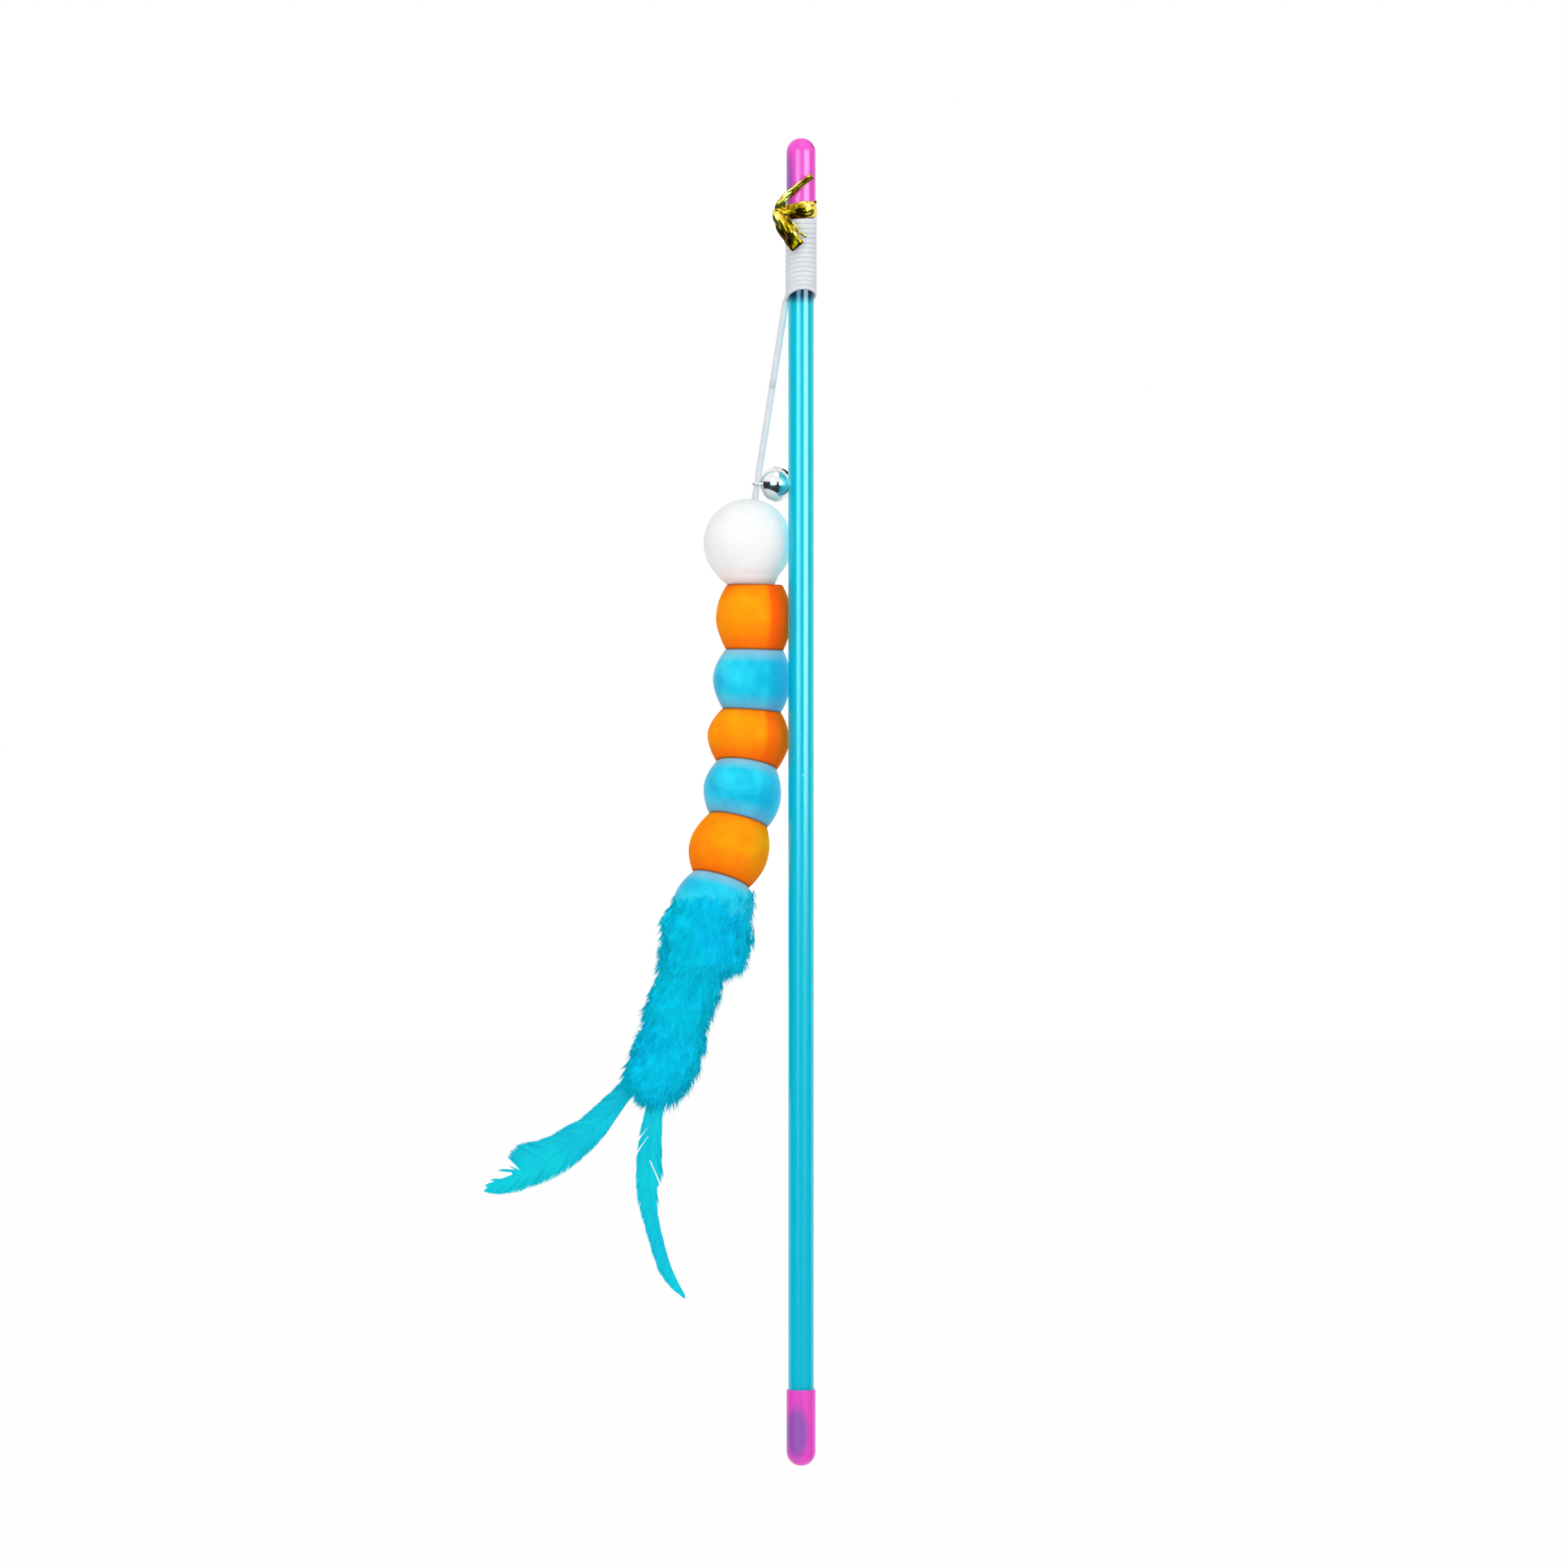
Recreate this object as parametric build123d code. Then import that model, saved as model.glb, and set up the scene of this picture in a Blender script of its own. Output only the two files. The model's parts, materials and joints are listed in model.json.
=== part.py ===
from build123d import *
from math import cos, pi, radians, sin, sqrt, tan
import os

os.makedirs("parts", exist_ok=True)

# Cat teaser wand: a capped plastic tube with a plush bead chain on a cord.
# Lengths are in millimetres and angles in degrees, with +Z up along the tube.
# The origin is on the tube's axis, half way along the handle cap's straight wall.

# Tube and caps
tube_length = 304.0
tube_diameter = 6.0
tube_wall = 0.8
cap_depth = 14.5
cap_wall = 0.38
cap_clearance = 0.02
cap_lip_rounding = 0.15

# Cord, its winding under the tip cap and its stop knots
cord_diameter = 0.8
winding_clearance = 0.05
winding_gap = 0.415
winding_quarters = 59
winding_below_cap = 1.25
winding_exit_azimuth = 180.0
winding_lead_bend = 1.0
winding_exit_bend = 1.6
cord_slot_clearance = 0.1
knot_radius = 0.7
knot_seat_share = 0.94
cord_swing_clearance = 0.35
cord_hinge_clearance = 0.15

# Free cord, which hangs straight from the winding to the head ball
toy_azimuth = 155.5
cord_fall = 46.9
cord_loop_length = 7.4
cord_bend_share = 0.45
settle_steps = 6
path_samples = 8
path_neighbour_share = 3.0

# Head ball
wand_gap = 0.3
head_radius = 10.4
head_entry_offset = 1.8
head_entry_clearance = 0.2
head_foot_share = 0.952
head_lean = 0.3

# Plush beads, from the head down: length between joints, radius and lean from plumb
bead_lengths = {
    "orange_bead_1": 15.2,
    "blue_bead_1": 14.3,
    "orange_bead_2": 13.0,
    "blue_bead_2": 13.1,
    "orange_bead_3": 14.7,
    "tail_bead": 12.8,
}
bead_radii = {
    "orange_bead_1": 8.65,
    "blue_bead_1": 8.74,
    "orange_bead_2": 9.4,
    "blue_bead_2": 9.2,
    "orange_bead_3": 9.3,
    "tail_bead": 9.3,
}
bead_leans = {
    "orange_bead_1": 0.0,
    "blue_bead_1": 2.8,
    "orange_bead_2": 6.0,
    "blue_bead_2": 9.5,
    "orange_bead_3": 18.0,
    "tail_bead": 17.5,
}
bead_gap = 0.5
bead_dome_radius = 20.0
bead_end_share = 0.8
bead_bore_clearance = 0.3

# Bell
bell_radius = 4.2
bell_lip_wall = 0.15
bell_lip_height = 1.0
bell_wall = 0.3
bell_seam_clearance = 0.02
bell_slot_width = 0.7
bell_slot_reach_share = 0.643
bell_slot_hole_radius = 0.65
bell_eye_radius = 1.0
bell_eye_wire = 0.6
bell_eye_leg = 1.0
bell_eye_height_share = 0.786
bell_wand_gap = 0.1
pea_radius = 1.3
pea_clearance = 0.1

# Fluffy tail
tuft_length = 50.0
tuft_mouth_wall = 0.5
tuft_collar_wall = 1.3
tuft_waist_radius = 8.2
tuft_hem_radius = 8.6
tuft_clearance = 0.05
# Its start as a share of the tail bead's length, then shares of its own length and width
tuft_drop_share = 0.555
tuft_collar_shares = (0.12, 0.3)
tuft_waist_share = 0.97
tuft_hem_shares = (0.55, 0.84)
tuft_tip_shares = (0.66, 0.96)
core_tail_reach = 1.2

# Feathers: heading and turn of the quill, length and width of the vane
quill_diameter = 0.8
quill_root_length = 9.0
quill_hinge_gap = 0.3
vane_thickness = 0.5
left_feather_heading = -46.0
left_feather_turn = 29.0
left_feather_length = 44.5
left_feather_width = 10.6
right_feather_heading = -77.0
right_feather_turn = -48.0
right_feather_length = 44.5
right_feather_width = 6.0
# Places of the roots as shares of the plume's reach and of its hem's radius
left_root_shares = (0.953, 0.816)
right_root_shares = (1.021, 0.0)
# Half widths of a vane as shares of its width: along the quill, above it, below it
left_vane_shares = [
    (0.03, 0.08, 0.08),
    (0.22, 0.3, 0.34),
    (0.45, 0.42, 0.46),
    (0.7, 0.58, 0.46),
    (0.88, 0.42, 0.36),
    (1.0, 0.0, 0.0),
]
right_vane_shares = [
    (0.03, 0.2, 0.2),
    (0.2, 0.48, 0.46),
    (0.36, 0.5, 0.5),
    (0.62, 0.3, 0.3),
    (0.85, 0.24, 0.2),
    (1.0, 0.0, 0.0),
]

# Twist tie
tie_width = 3.6
tie_thickness = 0.35
tie_clearance = 0.05
tie_above_mouth = 0.2
tie_azimuth = 205.0
tie_twist_length = 2.6
tie_twist_width = 2.2
tie_twist_depth = 1.2
tie_twist_angle = 200.0
tie_tail_thickness = 0.4
tie_upper_width = 1.7
tie_lower_width = 2.6
tie_tail_bend = 1.6
tie_front_clearance = 1.1
# Tail ends as turns round the tube from the twist, and rises from the tie's middle
tie_upper_turns = (36.0, 88.0)
tie_upper_rises = (3.6, 7.2)
tie_lower_turns = (32.0, 56.0)
tie_lower_rises = (-5.6, -9.0)

# One overrun serves all cuts
overrun = 1.0

# Worked out from the sizes above
tube_radius = tube_diameter / 2
tube_bore_radius = tube_radius - tube_wall
cap_bore_radius = tube_radius + cap_clearance
cap_radius = cap_bore_radius + cap_wall
tube_bottom = -cap_depth / 2
tube_top = tube_bottom + tube_length
cap_mouth = tube_top - cap_depth
cord_radius = cord_diameter / 2
winding_radius = tube_radius + winding_clearance + cord_radius
winding_top = cap_mouth - winding_below_cap
winding_pitch = cord_diameter + winding_gap
winding_bottom = winding_top - winding_pitch * winding_quarters / 4
bead_bore_radius = cord_radius + bead_bore_clearance
head_entry_rise = head_radius + head_entry_clearance
head_length = head_entry_rise + head_radius * head_foot_share
bell_slot_reach = bell_radius * bell_slot_reach_share
bell_eye_height = bell_radius * bell_eye_height_share
tail_radius = bead_radii["tail_bead"]
tuft_drop = bead_lengths["tail_bead"] * tuft_drop_share
tuft_mouth_radius = tail_radius + tuft_mouth_wall
tuft_collar_radius = tail_radius + tuft_collar_wall
upward = Vector(0, 0, 1)
toy_out = Vector(cos(radians(toy_azimuth)), sin(radians(toy_azimuth)), 0)
toy_side = toy_out.cross(upward)


def toy_point(out, height):
    """A point of the toy's upright plane, by its distance from the tube's axis and its height."""
    return toy_out * out + upward * height


def lean_down(angle):
    """The downward direction that leans out from plumb by an angle."""
    return toy_out * sin(radians(angle)) - upward * cos(radians(angle))


def save(name, shape):
    """Write one node."""
    shape.label = name
    export_step(shape, f"parts/{name}.step")


def spun(outline):
    """The solid that a closed outline of radius and height makes round Z."""
    return revolve(Plane.XZ * make_face(outline), Axis.Z)


def rod(start, end, radius):
    """A straight round rod with flat ends."""
    length = (end - start).length
    across = Plane(origin=start, z_dir=end - start)
    return across * Cylinder(radius, length, align=(Align.CENTER, Align.CENTER, Align.MIN))


def stop_knot(face_point, heading):
    """A round knot with a flat seat for a cord that arrives along the heading."""
    seat = sqrt(knot_radius**2 - cord_radius**2) * knot_seat_share
    centre = face_point + heading * seat
    ball = Sphere(knot_radius)
    waste = Pos(0, 0, seat + knot_radius) * Box(*[knot_radius * 2] * 3)
    return Plane(origin=centre, z_dir=heading * -1) * (ball - waste)


# Tube and caps
def cap():
    """A round-ended cap with its mouth at zero, opening downwards."""
    outline = [
        Line((cap_bore_radius, 0), (cap_radius - cap_lip_rounding, 0)),
        TangentArc(
            (cap_radius - cap_lip_rounding, 0),
            (cap_radius, cap_lip_rounding),
            tangent=(1, 0),
        ),
        Line((cap_radius, cap_lip_rounding), (cap_radius, cap_depth)),
        TangentArc((cap_radius, cap_depth), (0, cap_depth + cap_radius), tangent=(0, 1)),
        Line((0, cap_depth + cap_radius), (0, cap_depth)),
        Line((0, cap_depth), (cap_bore_radius, cap_depth)),
        Line((cap_bore_radius, cap_depth), (cap_bore_radius, 0)),
    ]
    return spun(outline)


def tube():
    """The hollow tube, with a slot under the winding where the cord goes in."""
    bottom = Pos(0, 0, tube_bottom)
    up = (Align.CENTER, Align.CENTER, Align.MIN)
    wall = bottom * Cylinder(tube_radius, tube_length, align=up)
    wall -= bottom * Cylinder(tube_bore_radius, tube_length, align=up)
    slot_middle = winding_start - winding_start_radial * winding_radius
    slot_middle -= winding_start_heading * winding_lead_bend / 2
    slot = Plane(origin=slot_middle, x_dir=winding_start_heading, z_dir=winding_start_radial)
    opening = SlotCenterToCenter(winding_lead_bend, cord_diameter + cord_slot_clearance * 2)
    return wall - extrude(slot * opening, tube_radius + overrun)


# Cord winding: quarter turns of two arcs each, downwards and clockwise from above
def winding_point(quarters):
    """A point of the winding, counted in quarter turns from its top."""
    angle = radians(winding_exit_azimuth + 90 * (winding_quarters - quarters))
    height = winding_top - winding_pitch * quarters / 4
    return Vector(winding_radius * cos(angle), winding_radius * sin(angle), height)


def winding_heading(quarters):
    """The direction of the winding at such a point."""
    angle = radians(winding_exit_azimuth + 90 * (winding_quarters - quarters))
    turn = 2 * pi * winding_radius
    return Vector(turn * sin(angle), -turn * cos(angle), -winding_pitch).normalized()


def biarc(start, start_heading, end, end_heading):
    """Two arcs that join two points with two directions."""
    chord = end - start
    both = start_heading + end_heading
    square = 4 - both.dot(both)
    slope = chord.dot(both)
    reach = (sqrt(slope**2 + square * chord.dot(chord)) - slope) / square
    first_corner = start + start_heading * reach
    last_corner = end - end_heading * reach
    middle = (first_corner + last_corner) / 2
    return [
        TangentArc(start, middle, tangent=start_heading),
        TangentArc(middle, end, tangent=last_corner - first_corner),
    ]


winding_start = winding_point(0)
winding_start_heading = winding_heading(0)
winding_start_radial = Vector(winding_start.X, winding_start.Y, 0).normalized()
winding_end = winding_point(winding_quarters)
winding_end_heading = winding_heading(winding_quarters)
winding_bend_start = winding_start - (winding_start_radial + winding_start_heading) * winding_lead_bend
winding_inner_end = winding_bend_start - winding_start_radial * cord_diameter

# The cord's lower end, where it goes into the head ball: the widest piece rests by the tube
entry_outs = [head_radius - head_entry_offset]
chain_out = head_length * sin(radians(head_lean))
for name, bead_length in bead_lengths.items():
    bead_shift = bead_length * sin(radians(bead_leans[name]))
    entry_outs.append(bead_radii[name] - chain_out - bead_shift / 2)
    chain_out += bead_shift
entry_out = tube_radius + wand_gap + max(entry_outs)
head_entry = toy_point(entry_out, winding_bottom - cord_fall)

# The free cord's direction follows from its two ends, found in a few steps
cord_heading = (head_entry - winding_end).normalized()
for step in range(settle_steps):
    exit_turn = winding_end_heading.get_angle(cord_heading)
    exit_reach = winding_exit_bend * tan(radians(exit_turn) / 2)
    exit_bend_end = winding_end + (winding_end_heading + cord_heading) * exit_reach
    cord_heading = (head_entry - exit_bend_end).normalized()
winding_outer_end = exit_bend_end + cord_heading * cord_diameter
exit_pivot = winding_outer_end + cord_heading * (cord_radius + cord_swing_clearance)
head_pivot = head_entry - cord_heading * cord_loop_length
cord_upper_end = head_pivot - cord_heading * (cord_radius + cord_hinge_clearance)


def winding_edges():
    """The winding's path from the knot inside the tube to the free cord."""
    edges = [
        Line(winding_inner_end, winding_bend_start),
        TangentArc(winding_bend_start, winding_start, tangent=winding_start_radial),
    ]
    for quarter in range(winding_quarters):
        edges += biarc(
            winding_point(quarter),
            winding_heading(quarter),
            winding_point(quarter + 1),
            winding_heading(quarter + 1),
        )
    edges.append(TangentArc(winding_end, exit_bend_end, tangent=winding_end_heading))
    edges.append(Line(exit_bend_end, winding_outer_end))
    return edges


def least_gap(edges, diameter):
    """The least clear distance between stretches of a path that are not neighbours."""
    points = []
    travelled = 0
    for edge in edges:
        for sample in range(path_samples):
            along = sample / path_samples
            points.append((travelled + along * edge.length, edge @ along))
        travelled += edge.length
    least = travelled
    for index, (place, point) in enumerate(points):
        for other_place, other in points[index + 1 :]:
            if other_place - place > diameter * path_neighbour_share:
                least = min(least, (other - point).length)
    return least - diameter


def tube_along(edges, radius, start, heading):
    """A round tube swept along a path, and the ratio of its volume to section times length."""
    path = Wire(edges)
    swept = sweep(Plane(origin=start, z_dir=heading) * Circle(radius), path=path)
    return swept, swept.volume / (pi * radius**2 * path.length), path.length


# Bead chain: the joints between the beads, from the head ball down
def rounded_bead(top, bottom, radius, grow=0):
    """A squashed round bead between two joints, with domed ends and a bore."""
    half = ((top - bottom).length - bead_gap) / 2 + grow
    side = radius + grow
    mouth = side * bead_end_share
    edge = half - bead_dome_radius + sqrt(bead_dome_radius**2 - mouth**2)
    outline = [
        TangentArc((0, half), (mouth, edge), tangent=(1, 0)),
        ThreePointArc((mouth, edge), (side, 0), (mouth, -edge)),
        TangentArc((0, -half), (mouth, -edge), tangent=(1, 0)),
        Line((0, half), (0, -half)),
    ]
    middle = (top + bottom) / 2
    return Plane(origin=middle, x_dir=toy_side, z_dir=top - bottom) * spun(outline)


def bored(solid, top, bottom):
    """A bead with the bore for its cord."""
    reach = (top - bottom).normalized() * overrun
    return solid - rod(top + reach, bottom - reach, bead_bore_radius)


def core(top, bottom):
    """The cord inside one bead, cut flush with the bead's ends."""
    half_gap = (top - bottom).normalized() * (bead_gap / 2)
    return rod(top - half_gap, bottom + half_gap, cord_radius)


head_joint = head_entry + lean_down(head_lean) * head_length
bead_joints = [head_joint]
for name, bead_length in bead_lengths.items():
    bead_joints.append(bead_joints[-1] + lean_down(bead_leans[name]) * bead_length)
tail_joint = bead_joints[-2]
tail_down = (bead_joints[-1] - tail_joint).normalized()
tail_across = toy_side.cross(tail_down)


def head():
    """The white ball, domed underneath where it meets the first bead."""
    middle = toy_point(entry_out + head_entry_offset, head_entry.Z - head_entry_rise)
    axis = (head_entry - head_joint).normalized()
    dome_middle = head_joint + axis * (bead_dome_radius + bead_gap / 2)
    ball = Pos(middle) * Sphere(head_radius) & Pos(dome_middle) * Sphere(bead_dome_radius)
    return bored(ball, head_entry, head_joint)


def lower_cord():
    """The cord from the head's pivot through the bell's eye and down the ball's bore."""
    axis = (head_entry - head_joint).normalized()
    end = head_joint + axis * (bead_gap / 2)
    turn = cord_heading.get_angle(axis * -1)
    bend = cord_bend_share * cord_loop_length / tan(radians(turn) / 2)
    path = FilletPolyline(head_pivot, head_entry, end, radius=[bend])
    swept, ratio, length = tube_along(path.edges(), cord_radius, head_pivot, cord_heading)
    print(f"cord_lower: length {length:.2f}, bend radius {bend:.1f}, volume ratio {ratio:.4f}")
    return swept + Pos(head_pivot) * Sphere(cord_radius)


def upper_cord():
    """The straight free cord, round at its upper end."""
    return rod(exit_pivot, cord_upper_end, cord_radius) + Pos(exit_pivot) * Sphere(cord_radius)


# Bell: local Z runs from the eye to the slotted end
bell_shell_radius = bell_radius - bell_lip_wall
bell_inner_radius = bell_shell_radius - bell_wall
bell_eye_middle = head_entry - cord_heading * bell_eye_height
bell_eye_offset = bell_radius + bell_eye_wire
bell_eye_outwards = Vector(bell_eye_middle.X, bell_eye_middle.Y, 0)
bell_passing = tube_radius + bell_wand_gap + bell_radius
bell_nearing = sqrt(bell_eye_outwards.dot(bell_eye_outwards) - bell_passing**2)
bell_sideways = bell_eye_outwards.cross(upward).normalized()
bell_heading = bell_sideways * bell_passing - bell_eye_outwards.normalized() * bell_nearing
bell_heading = bell_heading.normalized()
bell_middle = bell_eye_middle + bell_heading * bell_eye_offset
bell_frame = Plane(origin=bell_middle, x_dir=upward, z_dir=bell_heading)


def bell_back():
    """The half with the eye, with two holes for its legs."""
    outline = [
        TangentArc((0, -bell_shell_radius), (bell_shell_radius, 0), tangent=(1, 0)),
        Line((bell_shell_radius, 0), (bell_inner_radius, 0)),
        TangentArc((0, -bell_inner_radius), (bell_inner_radius, 0), tangent=(1, 0)),
        Line((0, -bell_inner_radius), (0, -bell_shell_radius)),
    ]
    shell = spun(outline)
    hole = Cylinder(bell_eye_wire / 2 + bell_seam_clearance, bell_radius * 2)
    for side in (bell_eye_radius, -bell_eye_radius):
        shell -= Pos(0, side, -bell_radius) * hole
    return bell_frame * shell


def bell_front():
    """The slotted half, with a lip that closes over the other half."""
    lip = bell_lip_height / 2
    lip_edge = sqrt(bell_shell_radius**2 - lip**2)
    lip_bore = bell_shell_radius + bell_seam_clearance
    outline = [
        TangentArc((0, bell_shell_radius), (lip_edge, lip), tangent=(1, 0)),
        Polyline(
            (lip_edge, lip),
            (bell_radius, lip),
            (bell_radius, -lip),
            (lip_bore, -lip),
            (lip_bore, 0),
            (bell_inner_radius, 0),
        ),
        TangentArc((0, bell_inner_radius), (bell_inner_radius, 0), tangent=(1, 0)),
        Line((0, bell_inner_radius), (0, bell_shell_radius)),
    ]
    shell = spun(outline)
    deep = Pos(0, 0, bell_radius)
    for quarter in (0, 90):
        slot = Box(bell_slot_width, bell_slot_reach * 2, bell_radius)
        shell -= Rot(0, 0, quarter) * deep * slot
        for end in (bell_slot_reach, -bell_slot_reach):
            hole = Cylinder(bell_slot_hole_radius, bell_radius)
            shell -= Rot(0, 0, quarter) * Pos(0, end, bell_radius) * hole
    return bell_frame * shell


def bell_loop():
    """The wire eye, whose legs go through the back half."""
    leg_end = bell_eye_leg - bell_inner_radius
    path = [
        Line((0, bell_eye_radius, leg_end), (0, bell_eye_radius, -bell_eye_offset)),
        TangentArc(
            (0, bell_eye_radius, -bell_eye_offset),
            (0, -bell_eye_radius, -bell_eye_offset),
            tangent=(0, 0, -1),
        ),
        Line((0, -bell_eye_radius, -bell_eye_offset), (0, -bell_eye_radius, leg_end)),
    ]
    start = Vector(0, bell_eye_radius, leg_end)
    wire = tube_along(path, bell_eye_wire / 2, start, Vector(0, 0, -1))[0]
    return bell_frame * wire


pea_drop = bell_inner_radius - pea_radius - pea_clearance
pea_middle = bell_middle - upward * pea_drop


# Tail: plume, its knot and its feathers
def tail_place(along, across):
    """A point by its distance down the tail's axis from its joint and across it."""
    return tail_joint + tail_down * along + tail_across * across


def feather_point(share, heading, turn, length):
    """A point of a curved quill and the direction there, in the toy's plane from the root."""
    start = radians(heading)
    angle = start + radians(turn) * share
    bend = length / radians(turn)
    place = (bend * (sin(angle) - sin(start)), bend * (cos(start) - cos(angle)))
    return place, angle


def feather(root, heading, turn, length, width, shares):
    """A flat vane with its quill, hinged at its root."""
    above = []
    below = []
    for along, upper, lower in shares:
        (out, height), angle = feather_point(along, heading, turn, length)
        above.append((out - sin(angle) * upper * width, height + cos(angle) * upper * width))
        below.append((out + sin(angle) * lower * width, height - cos(angle) * lower * width))
    outline = [Spline(above), Spline(below), Line(above[0], below[0])]
    quill_start = feather_point(quill_hinge_gap / length, heading, turn, length)
    quill_end = feather_point(shares[-2][0], heading, turn, length)
    way = (cos(quill_start[1]), sin(quill_start[1]))
    quill = trace(TangentArc(quill_start[0], quill_end[0], tangent=way), quill_diameter)
    sheet = Plane(origin=root, x_dir=toy_out, z_dir=toy_side)
    vane = extrude(sheet * make_face(outline), vane_thickness / 2, both=True)
    return vane + extrude(sheet * quill, quill_diameter / 2, both=True)


def quill_root(root, heading):
    """The end of a quill that is glued in the plume."""
    way = toy_out * cos(radians(heading)) + upward * sin(radians(heading))
    return root - way * (quill_hinge_gap + quill_root_length), root - way * quill_hinge_gap


def feather_root(along_share, across_share):
    """The hinge point of a feather, by its place along and across the plume."""
    return tail_place((tuft_drop + tuft_length) * along_share, tuft_hem_radius * across_share)


left_root = feather_root(*left_root_shares)
right_root = feather_root(*right_root_shares)
core_tail_end = bead_joints[-1] + tail_down * core_tail_reach


def plume():
    """The fluffy plume round the tail bead's lower half."""
    collar_middle, collar_end = [share * tuft_length for share in tuft_collar_shares]
    waist, hem = [share * tuft_length for share in tuft_hem_shares]
    tip_radius = tuft_tip_shares[0] * tuft_hem_radius
    tip = tuft_tip_shares[1] * tuft_length
    outline = [
        Line((0, 0), (tuft_mouth_radius, 0)),
        ThreePointArc(
            (tuft_mouth_radius, 0),
            (tuft_collar_radius, -collar_middle),
            (tuft_waist_radius, -collar_end),
        ),
        ThreePointArc(
            (tuft_waist_radius, -collar_end),
            (tuft_waist_radius * tuft_waist_share, -waist),
            (tuft_hem_radius, -hem),
        ),
        ThreePointArc((tuft_hem_radius, -hem), (tip_radius, -tip), (0, -tuft_length)),
        Line((0, -tuft_length), (0, 0)),
    ]
    top = tail_place(tuft_drop, 0)
    body = Plane(origin=top, x_dir=toy_side, z_dir=tail_down * -1) * spun(outline)
    body -= rounded_bead(tail_joint, bead_joints[-1], tail_radius, tuft_clearance)
    body -= rod(tail_joint, core_tail_end, cord_radius + tuft_clearance)
    knot_middle = core_tail_end + tail_down * sqrt(knot_radius**2 - cord_radius**2) * knot_seat_share
    body -= Pos(knot_middle) * Sphere(knot_radius + tuft_clearance)
    for root, heading in ((left_root, left_feather_heading), (right_root, right_feather_heading)):
        inner, outer = quill_root(root, heading)
        body -= rod(inner, outer, quill_diameter / 2 + tuft_clearance)
    return body


# Twist tie: a band round the cap, a twist beside it and two loose tails
def round_tube(turn, radius, height):
    """A point by its turn round the tube from the twist, its radius and its height."""
    angle = radians(tie_azimuth + turn)
    return Vector(radius * cos(angle), radius * sin(angle), height)


def tie_tail(start, turns, rises, width, radius):
    """A loose flat tail that runs from the twist across the front of the tube."""
    middle_height = cap_mouth + tie_above_mouth + tie_width / 2
    points = [start]
    for turn, rise in zip(turns, rises):
        points.append(round_tube(turn, radius, middle_height + rise))
    path = FilletPolyline(*points, radius=tie_tail_bend)
    way = points[1] - points[0]
    outwards = round_tube(0, radius, 0).normalized()
    section = Plane(origin=start, x_dir=way.cross(outwards), z_dir=way)
    return sweep(section * Rectangle(width, tie_tail_thickness), path=path)


def tie():
    """The whole tie as one piece."""
    band_bottom = cap_mouth + tie_above_mouth
    band_bore = cap_radius + tie_clearance
    up = (Align.CENTER, Align.CENTER, Align.MIN)
    band = Cylinder(band_bore + tie_thickness, tie_width, align=up)
    band -= Cylinder(band_bore, tie_width, align=up)
    middle_height = band_bottom + tie_width / 2
    outwards = round_tube(0, tie_thickness, 0).normalized()
    twist_start = round_tube(0, band_bore + tie_thickness / 2, middle_height)
    section = Plane(origin=twist_start, x_dir=upward, z_dir=outwards)
    twist = Solid.extrude_linear_with_rotation(
        (section * Rectangle(tie_twist_width, tie_twist_depth)).face(),
        twist_start,
        outwards * tie_twist_length,
        tie_twist_angle,
    )
    tail_start = twist_start + outwards * (tie_twist_length - tie_twist_depth / 2)
    upper_radius = cap_radius + tie_front_clearance + tie_thickness
    lower_radius = winding_radius + cord_radius + tie_front_clearance
    whole = Pos(0, 0, band_bottom) * band + twist
    whole += tie_tail(tail_start, tie_upper_turns, tie_upper_rises, tie_upper_width, upper_radius)
    whole += tie_tail(tail_start, tie_lower_turns, tie_lower_rises, tie_lower_width, lower_radius)
    return whole


# Write every node
save("wand_tube", tube())
save("tip_cap", Pos(0, 0, cap_mouth) * cap())
save("handle_cap", Pos(0, 0, tube_bottom + cap_depth) * Rot(180, 0, 0) * cap())
save("twist_tie", tie())
save("cord_knot", stop_knot(winding_inner_end, winding_start_radial * -1))

winding_path = winding_edges()
winding, winding_ratio, winding_length = tube_along(
    winding_path, cord_radius, winding_inner_end, winding_start_radial
)
save("cord_winding", winding)
print(f"cord_winding: length {winding_length:.1f}, volume ratio {winding_ratio:.4f}")
print(f"cord_winding: bend radii {winding_lead_bend:.2f} {winding_radius:.2f} {winding_exit_bend:.2f}")
print(f"cord_winding: least gap to itself {least_gap(winding_path, cord_diameter):.3f}")
save("cord_upper", upper_cord())
print(f"cord_upper: straight, length {(cord_upper_end - exit_pivot).length:.2f}")
save("cord_lower", lower_cord())
save("head_ball", head())

save("bell_back_shell", bell_back())
save("bell_front_shell", bell_front())
save("bell_eye", bell_loop())
save("bell_pea", Pos(pea_middle) * Sphere(pea_radius))

for index, name in enumerate(bead_lengths):
    top, bottom = bead_joints[index], bead_joints[index + 1]
    plain_bead = rounded_bead(top, bottom, bead_radii[name])
    save(name, bored(plain_bead, top, bottom))
    if name != "tail_bead":
        save(f"core_cord_{index + 1}", core(top, bottom))

save("core_cord_tail", rod(tail_joint + tail_down * (bead_gap / 2), core_tail_end, cord_radius))
save("end_knot", stop_knot(core_tail_end, tail_down))
save("tail_tuft", plume())
save("left_feather_root", rod(*quill_root(left_root, left_feather_heading), quill_diameter / 2))
save("right_feather_root", rod(*quill_root(right_root, right_feather_heading), quill_diameter / 2))
save(
    "left_feather",
    feather(
        left_root,
        left_feather_heading,
        left_feather_turn,
        left_feather_length,
        left_feather_width,
        left_vane_shares,
    ),
)
save(
    "right_feather",
    feather(
        right_root,
        right_feather_heading,
        right_feather_turn,
        right_feather_length,
        right_feather_width,
        right_vane_shares,
    ),
)
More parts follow.
